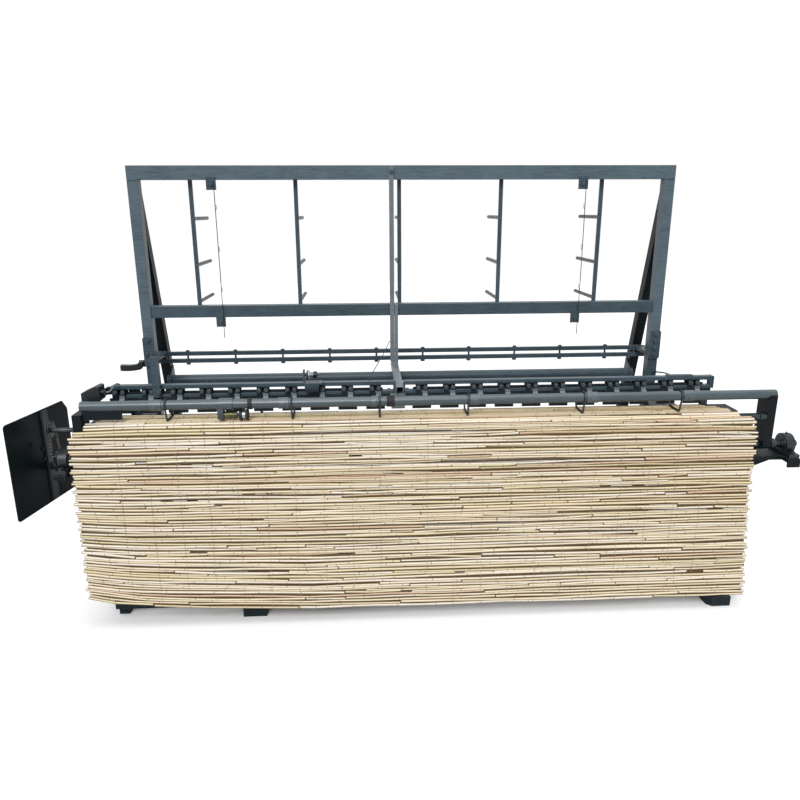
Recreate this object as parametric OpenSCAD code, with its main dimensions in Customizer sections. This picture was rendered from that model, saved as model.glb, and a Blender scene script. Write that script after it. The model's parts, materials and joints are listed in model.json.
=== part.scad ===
// Mat weaving machine for reed and straw mats.
// Machine places are X left to right, Y front to back from the beam's front face, Z up from the floor.
// X is zero half way between the creel posts. Every sub-part is moved at the end by shift_x and shift_y,
// so that the origin lies under the middle of the whole machine.

/* [Creel] */
// Half the distance between the centres of the two creel posts
creel_half = 999; // [960:1:1010]
// Depth of the creel posts' centre behind the beam's front face
creel_y = 300; // [290:1:340]
// Side of the square tube of posts, struts, legs and arms
post_w = 40; // [36:1:44]
// Wall of the square tubes
tube_wall = 3; // [2:0.5:4]
// Height of the creel above the floor
creel_h = 1640; // [1600:5:1800]
// Height of the top rail's section
top_rail_h = 50; // [40:1:60]
// Height of the middle rail's upper face
mid_rail_top = 1130; // [1115:5:1135]
// Height of the middle rail's section
mid_rail_h = 45; // [40:1:48]
// Lowest point of the splice plates
splice_z = 898; // [895:1:905]
// Length of the splice plates
splice_len = 115; // [110:1:130]
// Thickness of the splice plates
splice_t = 8; // [6:0.5:9]
// Backward run of the rear struts for each unit of height
strut_slope = 0.2755; // [0.26:0.001:0.29]
// Height at which a strut's centre line meets its post's centre line
strut_apex_z = 1541; // [1520:1:1560]

/* [Spools] */
// Distance between neighbouring spool bars
spool_pitch = 388.5; // [370:0.5:400]
// Width of a spool bar
spool_bar_w = 15; // [12:1:20]
// Thickness of a spool bar
spool_bar_t = 8; // [6:0.5:10]
// Diameter of a spool peg
peg_d = 14; // [10:0.5:16]
// Length of a spool peg behind its bar
peg_len = 246; // [80:1:260]
// Heights of the three rows of pegs
peg_rows = [1452, 1280, 1141];

/* [Yarn guides] */
// Side of the two square guide bars
guide_bar_w = 16; // [12:1:20]
// Depth of the guide bars' centre
guide_bar_y = 430; // [425:1:434]
// Height of the upper guide bar's centre
guide_bar_z = 915; // [912:1:918]
// Clear gap between the two guide bars
guide_bar_gap = 14; // [10:1:20]
// Distance between the bolts that join the guide bars
guide_pin_pitch = 194; // [180:1:196]
// Diameter of the bolts that join the guide bars
guide_pin_d = 8; // [6:0.5:10]
// Diameter of the round rear crossbar
crossbar_d = 42; // [34:1:44]
// Height of the rear crossbar's centre
crossbar_z = 797; // [790:1:805]

/* [Needle beam] */
// Left end of the needle beam
beam_left = -1057; // [-1062:1:-1050]
// Right end of the needle beam
beam_right = 1108; // [1100:1:1112]
// Depth of the beam's flat bars
beam_t = 25; // [20:1:30]
// Lower face of the lower beam bar
beam_z = 845; // [843:1:847]
// Height of the lower beam bar
beam_low_h = 11; // [9:1:13]
// Clear height of the slot between the beam bars
slot_h = 20; // [17:1:22]
// Height of the upper beam bar
beam_up_h = 14; // [12:1:18]
// Distance between neighbouring knitting heads
head_pitch = 100; // [96:0.5:102]
// Place of the head nearest the centre on the left half
head_left_x = -130; // [-135:1:-125]
// Place of the head nearest the centre on the right half
head_right_x = 37; // [32:1:42]
// Number of heads on the left half
left_heads = 10; // [4:1:10]
// Number of heads on the right half
right_heads = 11; // [4:1:11]
// Width of a head's hanger
hanger_w = 68; // [60:1:72]
// Lower face of the hangers
hanger_z = 790; // [789:1:796]
// Distance between a head's two bolts
head_bolt_gap = 25; // [22:1:30]

/* [Needles] */
// Diameter of the needles' rocker shaft
rocker_d = 25; // [20:1:28]
// Depth of the rocker shaft's axis
rocker_y = 70; // [68:1:74]
// Height of the rocker shaft's axis
rocker_z = 815; // [813:1:816]
// Radius of the needles' arc about the rocker shaft
needle_arc = 55; // [52:1:56]
// Diameter of a needle
needle_d = 6; // [4:0.5:7]
// Arc that a needle spans below its arm, in degrees
needle_span = 32; // [24:1:34]
// Distance from the rocker shaft to the connecting rod's pin
rocker_arm = 100; // [90:1:110]
// Radius of the crank pin's circle
crank_r = 26; // [20:1:28]
// Diameter of the crank pin
crank_pin_d = 14; // [10:1:16]

/* [Presser] */
// Outer diameter of the presser pipe
pipe_d = 34; // [30:0.5:36]
// Wall of the presser pipe
pipe_wall = 3; // [2:0.5:4]
// Depth of the presser pipe's axis, in front of the beam
pipe_y = -100; // [-104:1:-98]
// Height of the presser pipe's axis
pipe_z = 845; // [842:1:848]
// Left end of the presser pipe
pipe_left = -1128; // [-1135:1:-1126]
// Right end of the presser pipe
pipe_right = 1290; // [1285:1:1292]
// Places of the six hooks along the pipe
hook_x = [-844, -419, -117, 190, 598, 945];
// Places of the six clamps beside the hooks
clamp_x = [-877, -446, -136, 213, 627, 972];
// Widths of the six clamps
clamp_w = [40, 36, 20, 32, 40, 40];
// Thickness of a hook's flat bar
hook_t = 8; // [6:0.5:8]
// Length of a hook's runner, towards the beam
hook_run = 84; // [70:1:88]

/* [Draw roller and main shaft] */
// Diameter of the main shaft
shaft_d = 25; // [20:1:28]
// Depth of the main shaft's axis
shaft_y = -82; // [-84:1:-80]
// Height of the main shaft's axis
shaft_z = 652; // [648:1:655]
// Left end of the main shaft
shaft_left = -1246; // [-1250:1:-1243]
// Right end of the main shaft
shaft_right = 1404; // [1402:1:1410]
// Depth of the draw roller's axis
roller_y = -103; // [-103.5:0.5:-101]
// Diameter of the draw roller
roller_d = 25; // [22:0.5:26]
// Diameter of the draw roller's journals
journal_d = 16; // [14:0.5:18]
// Width of the presser arms' tube, along the machine
arm_w = 30; // [26:1:34]
// Depth of the presser arms' tube
arm_depth = 70; // [64:1:72]
// Left face of the left arm
arm_left_x = -1156; // [-1160:1:-1154]
// Left face of the right arm
arm_right_x = 1262; // [1258:1:1264]
// Height of a pillow block's shaft above its foot
block_rise = 36.5; // [33:0.5:40]
// Length of a pillow block's foot
block_len = 130; // [130:1:150]
// Width of a pillow block's foot
block_w = 38; // [34:1:38]
// Places of the two pillow blocks
block_x = [-1208, 1366];
// Teeth of all four sprockets
sprocket_teeth = 14; // [13:1:14]
// Plane of the roller chain
roller_chain_x = -1236; // [-1237:0.5:-1235]

/* [Mat] */
// Left edge of the hanging mat
mat_left = -1186; // [-1187:1:-1150]
// Right edge of the hanging mat
mat_right = 1240; // [1200:1:1240]
// Diameter of a reed, and so the mat's thickness
reed_d = 8; // [7:0.5:8.5]
// Height of the hanging mat's lowest reed above the floor
mat_bottom = 45; // [42:1:120]
// How far the reeds' ends stagger
ragged = 16; // [4:1:24]
// How much shorter the top rows are on the left
top_short_left = 90; // [80:1:110]
// How much shorter the top rows are on the right
top_short_right = 160; // [60:1:180]
// How far the mat's lower left corner is drawn up
corner_lift = 75; // [40:1:90]
// How far in from the left that corner is drawn up
corner_run = 800; // [600:10:1000]
// How far the lowest rows stand out further on the right
low_spread = 32; // [0:1:36]

/* [Base] */
// Height of the floor skids
skid_h = 40; // [36:1:44]
// Height of the cross rails on the skids
rail_h = 60; // [50:1:60]
// Rear end of the skids
skid_back = 740; // [735:5:780]
// Thickness of the bearing shelves
shelf_t = 15; // [12:1:16]

/* [Drive] */
// Plane of the drive chain
drive_x = -530; // [-532:1:-528]
// Depth of the gearbox's output shaft
gearbox_y = 170; // [165:1:172]
// Radius of the motor pulley
motor_pulley_r = 35; // [30:1:40]
// Radius of the gearbox pulley
gearbox_pulley_r = 50; // [44:1:54]
// Radius of the motor's body
motor_r = 65; // [55:1:68]
// Length of the motor's body
motor_len = 200; // [160:5:240]

/* [Guard] */
// Fore-aft length of the chain guard
guard_len = 333; // [320:1:340]
// Height of the chain guard
guard_h = 339; // [330:1:345]
// Thickness of the chain guard's sheet
guard_t = 3; // [2:0.5:4]
// Lower edge of the chain guard
guard_z = 479; // [475:1:485]
// Outward turn of the chain guard, in degrees
guard_splay = 10.9; // [9:0.1:12]

/* [Hidden] */
$fn = 48;
paint = "#39474f";
dark = "#23292e";
steel = "#9aa3a8";
straw = "#d9cfa4";
run_gap = 0.05;
clear_gap = 0.3;
chain_pitch = 12.7;
roller_chain_links = 9;
drive_chain_links = 43;

// Places that follow from the driving dimensions
rail_top = skid_h + rail_h;
slot_z = beam_z + beam_low_h;
beam_up_z = slot_z + slot_h;
beam_top = beam_up_z + beam_up_h;
bolt_z = slot_z + slot_h / 2;
top_rail_z = creel_h - top_rail_h;
mid_rail_z = mid_rail_top - mid_rail_h;
post_front = creel_y - post_w / 2;
post_back = creel_y + post_w / 2;
creel_out = creel_half + post_w / 2;
splice_mid = splice_z + splice_len / 2;
guide_low_z = guide_bar_z - guide_bar_w - guide_bar_gap;
tilt = sqrt(1 + strut_slope * strut_slope);
strut_half = post_w / 2 * tilt;
function strut_y(z) = creel_y + strut_slope * (strut_apex_z - z);
function strut_front(z) = strut_y(z) - strut_half;
crossbar_y = strut_front(crossbar_z) - crossbar_d / 2 * tilt;
left_heads_x = [for (i = [left_heads - 1 : -1 : 0]) head_left_x - i * head_pitch];
right_heads_x = [for (i = [0 : right_heads - 1]) head_right_x + i * head_pitch];
heads_x = concat(left_heads_x, right_heads_x);
sprocket_r = chain_pitch / (2 * sin(180 / sprocket_teeth));
roller_rise = sqrt(pow(chain_pitch * roller_chain_links, 2) - pow(roller_y - shaft_y, 2));
roller_z = shaft_z + roller_rise;
gearbox_drop = sqrt(pow(chain_pitch * drive_chain_links, 2) - pow(gearbox_y - shaft_y, 2));
gearbox_z = shaft_z - gearbox_drop;
mat_bend_r = roller_d / 2 + 3.8;
mat_bend_y = roller_y - 0.7;
mat_under = roller_z + roller_d / 2 + 0.6;
mat_bend_z = mat_under - mat_bend_r;
mat_top = mat_under + reed_d;
mat_back = mat_bend_y - mat_bend_r;
mat_front = mat_back - reed_d;
ledge_t = 8;
shelf_top = shaft_z - block_rise;
shelf_z = shelf_top - shelf_t;
leg_top = mat_under - ledge_t;
leg_x = [-1096, -597, 1159];
leg_y = -40;
skid_x = [[-1116, -1077], [-641, -553], [1139, 1228]];
skid_front = [-28, -75, -110];
shelf_left = -1229;
shelf_right = block_x[1] + block_w / 2 + 3;
arm_top_left = 818;
gusset_z = 797;
gusset_right = -995;
centre_left = -57;
centre_right = -30;
centre_top = guide_low_z - guide_bar_w / 2;
upright_x = -65;
upright_w = 17;
upright_z = 907;
hanger_t = 8;
ear_w = 16;
head_bolt_r = 4;
clamp_plate_t = 4;
clamp_lap = 6;
wire_x = [-716, 666];
guide_bar_left = -1026;
guide_bar_right = 1023;
guide_pin_left = -893;
rod_x0 = drive_x - 40;
rod_t = 10;
counter_y = pipe_y;
counter_z = mat_top + 20.8;
counter_r = 20;
guard_rear_x = -1264;
guard_rear_y = 105;
guard_foot_x = guard_rear_x - guard_len * sin(guard_splay) - guard_t * cos(guard_splay);
motor_y = 20;
motor_z = rail_top + 10 + 80;
motor_step = 155;
motor_left = drive_x + motor_step;
belt_x = drive_x + 135;
base_plate_t = 10;
shift_x = -(guard_foot_x + shaft_right) / 2;
shift_y = -(guard_rear_y - guard_len * cos(guard_splay) + skid_back) / 2;

// A block between two corners
module block(lo, hi) {
    translate(lo) cube(hi - lo);
}

// Round bars along each axis
module bar_x(x0, x1, y, z, r) {
    translate([x0, y, z]) rotate([0, 90, 0]) cylinder(r = r, h = x1 - x0);
}
module bar_y(y0, y1, x, z, r) {
    translate([x, y0, z]) rotate([-90, 0, 0]) cylinder(r = r, h = y1 - y0);
}
module bar_z(z0, z1, x, y, r) {
    translate([x, y, z0]) cylinder(r = r, h = z1 - z0);
}

// Hexagon heads and nuts along each axis, given across corners by their radius
module hex_x(x0, x1, y, z, r) {
    translate([x0, y, z]) rotate([0, 90, 0]) cylinder(r = r, h = x1 - x0, $fn = 6);
}
module hex_y(y0, y1, x, z, r) {
    translate([x, y0, z]) rotate([-90, 0, 0]) cylinder(r = r, h = y1 - y0, $fn = 6);
}
module hex_z(z0, z1, x, y, r) {
    translate([x, y, z0]) cylinder(r = r, h = z1 - z0, $fn = 6);
}

// Open rectangular tubes along each axis
module tube_x(x0, x1, y0, y1, z0, z1, t) {
    difference() {
        block([x0, y0, z0], [x1, y1, z1]);
        block([x0 - 1, y0 + t, z0 + t], [x1 + 1, y1 - t, z1 - t]);
    }
}
module tube_y(x0, x1, y0, y1, z0, z1, t) {
    difference() {
        block([x0, y0, z0], [x1, y1, z1]);
        block([x0 + t, y0 - 1, z0 + t], [x1 - t, y1 + 1, z1 - t]);
    }
}
module tube_z(x0, x1, y0, y1, z0, z1, t) {
    difference() {
        block([x0, y0, z0], [x1, y1, z1]);
        block([x0 + t, y0 + t, z0 - 1], [x1 - t, y1 - t, z1 + 1]);
    }
}

// A plate whose outline is drawn in Y and Z, from x0 to x1
module plate_yz(x0, x1) {
    translate([x0, 0, 0]) rotate([90, 0, 90]) linear_extrude(x1 - x0) children();
}

// A plate whose outline is drawn in X and Z, from y0 to y1
module plate_xz(y0, y1) {
    translate([0, y1, 0]) rotate([90, 0, 0]) linear_extrude(y1 - y0) children();
}

// Outline of a band that runs round two circles, drawn from their centres and radii.
// Its straight sides start a hair inside the circles, so that they cross them cleanly.
module band_outline(a, ra, b, rb) {
    tuck = 0.02;
    d = b - a;
    len = norm(d);
    along = atan2(d[1], d[0]);
    lean = acos((ra - rb) / len);
    up = [cos(along + lean), sin(along + lean)];
    down = [cos(along - lean), sin(along - lean)];
    translate(a) circle(r = ra);
    translate(b) circle(r = rb);
    polygon([a + (ra - tuck) * up, a + (ra - tuck) * down, b + (rb - tuck) * down, b + (rb - tuck) * up]);
}

// A closed loop of belt or chain round two wheels
module band_loop(x0, x1, a, ra, b, rb, out, inner) {
    plate_yz(x0, x1) difference() {
        band_outline(a, ra + out, b, rb + out);
        band_outline(a, ra - inner, b, rb - inner);
    }
}

// A round cord of eight sides along a list of points
function unit(v) = v / norm(v);
function cord_dir(p, i) = unit(p[min(i + 1, len(p) - 1)] - p[max(i - 1, 0)]);
module cord(p, r) {
    sides = 8;
    rings = len(p);
    points = [for (i = [0 : rings - 1])
        let (d = cord_dir(p, i), u = unit(cross(d, [0, 1, 0.01])), v = cross(d, u))
        for (k = [0 : sides - 1]) p[i] + r * (cos(360 * k / sides) * u + sin(360 * k / sides) * v)];
    walls = [for (i = [0 : rings - 2]) for (k = [0 : sides - 1])
        let (n = (k + 1) % sides) [i * sides + k, (i + 1) * sides + k, (i + 1) * sides + n, i * sides + n]];
    first = [for (k = [0 : sides - 1]) k];
    last = [for (k = [sides - 1 : -1 : 0]) (rings - 1) * sides + k];
    polyhedron(points, concat([first], walls, [last]));
}

// Moves a sub-part from the machine's places to the origin under its middle
module placed() {
    translate([shift_x, shift_y, 0]) children();
}

// Three fore-aft skids on the floor, the right one with its inner front corner cut off
module floor_skids() {
    bevel = 18;
    color(dark) placed() {
        for (i = [0 : 1]) block([skid_x[i][0], skid_front[i], 0], [skid_x[i][1], skid_back, skid_h]);
        linear_extrude(skid_h) polygon([[skid_x[2][0] + bevel, skid_front[2]], [skid_x[2][1], skid_front[2]],
            [skid_x[2][1], skid_back], [skid_x[2][0], skid_back], [skid_x[2][0], skid_front[2] + bevel]]);
    }
}

// Front, middle and rear cross rails on the skids
module base_rails() {
    color(dark) placed() for (y = [leg_y, creel_y, strut_y(rail_top)])
        tube_x(skid_x[0][0], skid_x[2][1], y - post_w / 2, y + post_w / 2, skid_h, rail_top, tube_wall);
}

// Three upright legs on the front cross rail, under the reed ledge
module front_legs() {
    color(dark) placed() for (x = leg_x)
        tube_z(x - post_w / 2, x + post_w / 2, leg_y - post_w / 2, leg_y + post_w / 2,
            rail_top, leg_top, tube_wall);
}

// Bearing shelves that stand out from the outer legs, each with a web underneath
module bearing_shelves() {
    shelf_back = -12;
    inner_front = mat_back + 6;
    outer_front = shaft_y - block_len / 2 - 6;
    web_t = 10;
    web_drop = 90;
    left_leg = leg_x[0] - post_w / 2;
    right_leg = leg_x[2] + post_w / 2;
    left_step = mat_left - 3;
    right_step = block_x[1] - block_w / 2 - 5;
    lip_drop = 16;
    web_y = leg_y - web_t / 2;
    color(dark) placed() {
        translate([0, 0, shelf_z]) linear_extrude(shelf_t) polygon([[shelf_left, outer_front],
            [left_step, outer_front], [left_step, inner_front], [left_leg, inner_front],
            [left_leg, shelf_back], [shelf_left, shelf_back]]);
        plate_xz(web_y, web_y + web_t) polygon([[left_leg, shelf_z - web_drop], [left_leg, shelf_z],
            [shelf_left + 10, shelf_z], [shelf_left + 10, shelf_z - 12]]);
        translate([0, 0, shelf_z]) linear_extrude(shelf_t) polygon([[shelf_right, outer_front],
            [right_step, outer_front], [right_step, inner_front], [right_leg, inner_front],
            [right_leg, shelf_back], [shelf_right, shelf_back]]);
        block([right_step, outer_front, shelf_z - lip_drop], [shelf_right, outer_front + 8, shelf_z]);
        plate_xz(web_y, web_y + web_t) polygon([[right_leg, shelf_z - web_drop], [right_leg, shelf_z],
            [shelf_right - 10, shelf_z], [shelf_right - 10, shelf_z - 12]]);
        for (x = [arm_left_x, arm_right_x]) arm_stay(x + arm_w / 2);
    }
}

// Upright web that holds a presser arm to its shelf
module arm_stay(x) {
    stay_t = 10;
    stay_h = 105;
    arm_back = shaft_y + arm_depth / 2;
    plate_yz(x - stay_t / 2, x + stay_t / 2) polygon([[arm_back, shelf_top], [arm_back, shelf_top + stay_h],
        [arm_back + 8, shelf_top + stay_h], [-12, shelf_top + 30], [-12, shelf_top]]);
}

// Square posts below the splices
module lower_posts() {
    color(paint) placed() for (x = [-creel_half, creel_half])
        tube_z(x - post_w / 2, x + post_w / 2, post_front, post_back, rail_top, splice_mid - 1, tube_wall);
}

// Square posts above the splices
module creel_posts() {
    color(paint) placed() for (x = [-creel_half, creel_half])
        tube_z(x - post_w / 2, x + post_w / 2, post_front, post_back, splice_mid, top_rail_z, tube_wall);
}

// Chamfered plates bolted over the joints in the posts
module splice_plates() {
    half = post_w / 2 + 2;
    cut = 6;
    top = splice_z + splice_len;
    color(paint) placed() for (x = [-creel_half, creel_half])
        difference() {
            plate_xz(post_front - splice_t, post_front) polygon([[x - half + cut, splice_z],
                [x + half - cut, splice_z], [x + half, splice_z + cut], [x + half, top - cut],
                [x + half - cut, top], [x - half + cut, top], [x - half, top - cut],
                [x - half, splice_z + cut]]);
            for (p = splice_bolts(x)) bar_y(post_front - splice_t - 1, post_front + 1, p[0], p[1], 5.1);
        }
}
function splice_bolts(x) = x < 0
    ? [[x, splice_z + 102], [x - 9, splice_z + 48], [x + 9, splice_z + 48], [x, splice_z + 20]]
    : [for (i = [0 : 3]) [x, splice_z + 16 + 28 * i]];

// Top rail across both posts
module creel_top_rail() {
    color(paint) placed()
        tube_x(-creel_out, creel_out, post_front, post_back, top_rail_z, creel_h, tube_wall);
}

// Middle rail between the posts
module creel_mid_rail() {
    inner = creel_half - post_w / 2;
    color(paint) placed() tube_x(-inner, inner, post_front, post_back, mid_rail_z, mid_rail_top, tube_wall);
}

// Square struts that lean back from the posts to the rear cross rail
module strut_outline(inset) {
    half = strut_half - inset * tilt;
    face = post_back;
    top_front = strut_apex_z - (face + half - creel_y) / strut_slope;
    top_back = strut_apex_z - (face - half - creel_y) / strut_slope;
    foot = strut_y(rail_top);
    polygon([[face, top_back], [face, top_front], [foot - half, rail_top], [foot + half, rail_top]]);
}
module rear_struts() {
    color(dark) placed() for (x = [-creel_half, creel_half])
        difference() {
            plate_yz(x - post_w / 2, x + post_w / 2) strut_outline(0);
            plate_yz(x - post_w / 2 + tube_wall, x + post_w / 2 - tube_wall) strut_outline(tube_wall);
        }
}

// Links from the posts to the guide bars, wedges from the bars to the struts, and the crossbar's gussets
module strut_brackets() {
    link_t = 12;
    wedge_w = 30;
    back = guide_bar_y + guide_bar_w / 2;
    low = guide_low_z - guide_bar_w / 2;
    high = guide_bar_z + guide_bar_w / 2;
    color(paint) placed() {
        for (x = [-creel_half, creel_half]) {
            block([x - post_w / 2, post_back, guide_bar_z - link_t / 2],
                [x + post_w / 2, guide_bar_y - guide_bar_w / 2, guide_bar_z + link_t / 2]);
            plate_yz(x - wedge_w / 2, x + wedge_w / 2)
                polygon([[back, low], [strut_front(low), low], [strut_front(high), high], [back, high]]);
        }
        crossbar_gusset(-creel_half + post_w / 2);
        crossbar_gusset(creel_half - post_w / 2 - gusset_t);
    }
}
gusset_t = 6;
module crossbar_gusset(x) {
    r = crossbar_d / 2 + 0.1;
    back = strut_y(crossbar_z);
    plate_yz(x, x + gusset_t) difference() {
        polygon([[crossbar_y - r - 5, crossbar_z - 8], [crossbar_y - 4, crossbar_z - 30],
            [back + 8, crossbar_z - 30], [back - 6, crossbar_z + 55], [back - 18, crossbar_z + 55],
            [crossbar_y - r - 5, crossbar_z + 12]]);
        translate([crossbar_y, crossbar_z]) circle(r = r);
    }
}

// Upright flat bar in front of the rails, and the shorter bar beside it that carries the centre tube
module centre_upright() {
    bar_t = 15;
    color(paint) placed() {
        block([upright_x, post_front - bar_t, upright_z], [upright_x + upright_w, post_front, creel_h - 2]);
        block([upright_x + upright_w + 1, post_front - bar_t, centre_top],
            [upright_x + upright_w + 14, post_front, mid_rail_top]);
    }
}

// Rectangular tube that runs fore and aft between the two halves of the beam, with a hanger under it
module centre_tube() {
    centre_z = 845;
    color(paint) placed() {
        tube_y(centre_left, centre_right, -30, guide_bar_y + 32, centre_z, centre_top, 2.5);
        block([centre_left - 16, -hanger_t, hanger_z], [centre_right + 6, 0, centre_z]);
    }
}

// Arms from the posts to the underside of the reed ledge, the left one with a plate up to the beam's
// back, and the flat plate on the beam's right end with its stay rod to the post
module beam_arms() {
    inward = 12;
    left = -creel_half + inward;
    right = creel_half - inward;
    plate_x = [creel_half - 61, creel_half + 35];
    lug = [creel_half + 3, creel_half + 18];
    riser_gap = 0.2;
    color(paint) placed() {
        for (x = [left, right])
            tube_y(x - post_w / 2, x + post_w / 2, leg_y + 20, post_front, leg_top - post_w, leg_top,
                tube_wall);
        block([left - post_w / 2, beam_t, leg_top + riser_gap],
            [left + post_w / 2, beam_t + 8, beam_up_z + 6]);
        block([plate_x[0], 0, beam_top], [plate_x[1], 20, beam_top + 5]);
        block([lug[0], post_front - 6, 836], [lug[1], post_front, 850]);
        cord([[lug[0] + 7, post_front - 4, 843], [plate_x[0] + 42, 120, 876],
            [plate_x[0] + 10, 14, beam_top + 6]], 3);
    }
}

// Five flat bars behind the rails that carry the spool pegs
spool_x = [for (i = [-2 : 2]) i * spool_pitch - 25];
module spool_bars() {
    color(paint) placed() for (x = spool_x)
        difference() {
            block([x - spool_bar_w / 2, post_back, mid_rail_z],
                [x + spool_bar_w / 2, post_back + spool_bar_t, creel_h]);
            for (z = peg_rows) bar_y(post_back - 1, post_back + spool_bar_t + 1, x, z, peg_d / 4 + 0.1);
        }
}

// Pegs with round ends that the spools slide onto
module spool_pegs() {
    face = post_back + spool_bar_t;
    color(steel) placed() for (x = spool_x, z = peg_rows) {
        bar_y(face, face + peg_len - peg_d / 2, x, z, peg_d / 2);
        translate([x, face + peg_len - peg_d / 2, z]) sphere(r = peg_d / 2);
        bar_y(post_back, face, x, z, peg_d / 4);
    }
}

// Small plates that hold the upright guide wires
lug_w = 36;
lug_t = 5;
module wire_lugs() {
    lap = 10;
    color(paint) placed() for (x = wire_x, z = [top_rail_z, mid_rail_z])
        difference() {
            block([x - lug_w / 2, post_front - lug_t, z - lug_w], [x + lug_w / 2, post_front, z + lap]);
            bar_y(post_front - lug_t - 1, post_front + 1, x, z - 18, 4.1);
        }
}

// Upright wires with small hooks, and the thin tie wire down to the beam
module guide_wires() {
    wire_r = 2.5;
    hook_len = 16;
    wire_y = post_front - lug_t - wire_r;
    wire_foot = mid_rail_z - 80;
    color(steel) placed() {
        for (x = wire_x) {
            bar_z(wire_foot, top_rail_z - 4, x + 10, wire_y, wire_r);
            for (drop = [90, 240, 390])
                bar_y(wire_y - hook_len, wire_y, x + 10, top_rail_z - drop, wire_r * 0.8);
        }
        cord([[-67, post_front - 8, 985], [-98, 170, 950], [-130, 80, 918], [-153, 12, beam_top + 1.5]], 1.5);
    }
}

// Two square bars across the struts, joined by bolts
module guide_bars() {
    half = guide_bar_w / 2;
    color(paint) placed() for (z = [guide_bar_z, guide_low_z])
        difference() {
            block([guide_bar_left, guide_bar_y - half, z - half],
                [guide_bar_right, guide_bar_y + half, z + half]);
            for (x = guide_pins_x) bar_z(z - half - 1, z + half + 1, x, guide_bar_y, guide_pin_d / 2 + 0.1);
        }
}
guide_pins_x = [for (i = [0 : 9]) guide_pin_left + i * guide_pin_pitch];

// Bolts through both guide bars, with the round yarn rests on top
module guide_pins() {
    top = guide_bar_z + guide_bar_w / 2;
    foot = guide_low_z - guide_bar_w / 2;
    color(paint) placed() for (x = guide_pins_x) {
        bar_z(foot - 9, top + 7, x, guide_bar_y, guide_pin_d / 2);
        bar_z(top, top + 5, x, guide_bar_y, 8);
        hex_z(foot - 8, foot, x, guide_bar_y, 9);
    }
}

// Round crossbar in front of the struts
module rear_crossbar() {
    color(paint) placed() bar_x(-creel_half + 7, creel_half - 7, crossbar_y, crossbar_z, crossbar_d / 2);
}

// Bolts of the splices, the wire lugs, the centre upright and the side guide
guide_bolt_x = -889.5;
module frame_bolts() {
    front = post_front - splice_t;
    color(steel) placed() {
        for (x = [-creel_half, creel_half], p = splice_bolts(x)) {
            hex_y(front - 6, front, p[0], p[1], 8.5);
            bar_y(front, post_front, p[0], p[1], 5);
        }
        for (x = wire_x, z = [top_rail_z, mid_rail_z]) {
            hex_y(post_front - lug_t - 5, post_front - lug_t, x, z - 18, 7);
            bar_y(post_front - lug_t, post_front + 6, x, z - 18, 4);
            hex_y(post_front, post_front + 6, x, z - 18, 7);
        }
        hex_y(post_front - 21, post_front - 15, upright_x + upright_w / 2, creel_h - 24, 7);
        hex_y(-24, -18, guide_bolt_x, bolt_z, 7.5);
        bar_y(-18, beam_t + clamp_plate_t + 7, guide_bolt_x, bolt_z, head_bolt_r);
        hex_y(beam_t + clamp_plate_t, beam_t + clamp_plate_t + 6, guide_bolt_x, bolt_z, 7.5);
    }
}

// Upper and lower flat bars of the beam, in two halves beside the centre tube
module beam_bars() {
    color(paint) placed() for (x = [[beam_left, centre_left], [centre_right, beam_right]]) {
        block([x[0], 0, beam_z], [x[1], beam_t, slot_z]);
        block([x[0], 0, beam_up_z], [x[1], beam_t, beam_top]);
    }
}

// Packing pieces that close the slot at each end of both halves, the right end plate with its hole,
// and the two feet that stand the beam on the reed ledge
module beam_ends() {
    pack = 8;
    plate_t = 4;
    color(paint) placed() {
        for (x = [beam_left, centre_left - pack, centre_right, beam_right - pack])
            block([x, 0, slot_z], [x + pack, beam_t, beam_up_z]);
        difference() {
            block([beam_right, -5, beam_z], [beam_right + plate_t, beam_t + 5, beam_top]);
            bar_x(beam_right - 1, beam_right + plate_t + 1, beam_t / 2, bolt_z, 6);
        }
        for (x = [[beam_left, beam_left + 17], [beam_right - 32, beam_right - 4]])
            block([x[0], 10, mat_under], [x[1], 20, beam_z]);
    }
}

// Hangers under the beam, each with two ears for its bolts and a clamp plate behind the slot
module knitting_heads() {
    half = head_bolt_gap / 2;
    ear_top = beam_up_z + 4;
    color(dark) placed() for (c = heads_x) {
        difference() {
            union() {
                block([c - hanger_w / 2, -hanger_t, hanger_z], [c + hanger_w / 2, 0, beam_z + 1]);
                block([c - hanger_w / 2 + 6, 0, hanger_z + 4], [c + hanger_w / 2 - 6, 6, beam_z]);
                for (s = [-1, 1])
                    block([c + s * half - ear_w / 2, -hanger_t, beam_z + 1],
                        [c + s * half + ear_w / 2, 0, ear_top]);
            }
            for (s = [-1, 1]) bar_y(-hanger_t - 1, 1, c + s * half, bolt_z, head_bolt_r + 0.1);
        }
        difference() {
            block([c - half - ear_w / 2, beam_t, slot_z - clamp_lap],
                [c + half + ear_w / 2, beam_t + clamp_plate_t, beam_up_z + clamp_lap]);
            for (s = [-1, 1])
                bar_y(beam_t - 1, beam_t + clamp_plate_t + 1, c + s * half, bolt_z, head_bolt_r + 0.1);
        }
    }
}

// Two bolts through the slot for each head
module head_bolts() {
    back = beam_t + clamp_plate_t;
    color(dark) placed() for (c = heads_x, s = [-1, 1]) {
        x = c + s * head_bolt_gap / 2;
        hex_y(-hanger_t - 6, -hanger_t, x, bolt_z, 7.5);
        bar_y(-hanger_t, back + 7, x, bolt_z, head_bolt_r);
        hex_y(back, back + 6, x, bolt_z, 7.5);
    }
}

// Bright fingers in front of the hangers that lay the binding thread
finger_reach = 15;
module thread_fingers() {
    low = beam_z - 11;
    high = beam_z + 11;
    color("#c9cfd2") placed() for (c = heads_x) {
        plate_yz(c + 2, c + 20) polygon([[-hanger_t, low], [-hanger_t, high], [-hanger_t - 4, high],
            [-hanger_t - 4, low + 12], [-hanger_t - finger_reach, low + 5],
            [-hanger_t - finger_reach + 2, low]]);
    }
}

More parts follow.
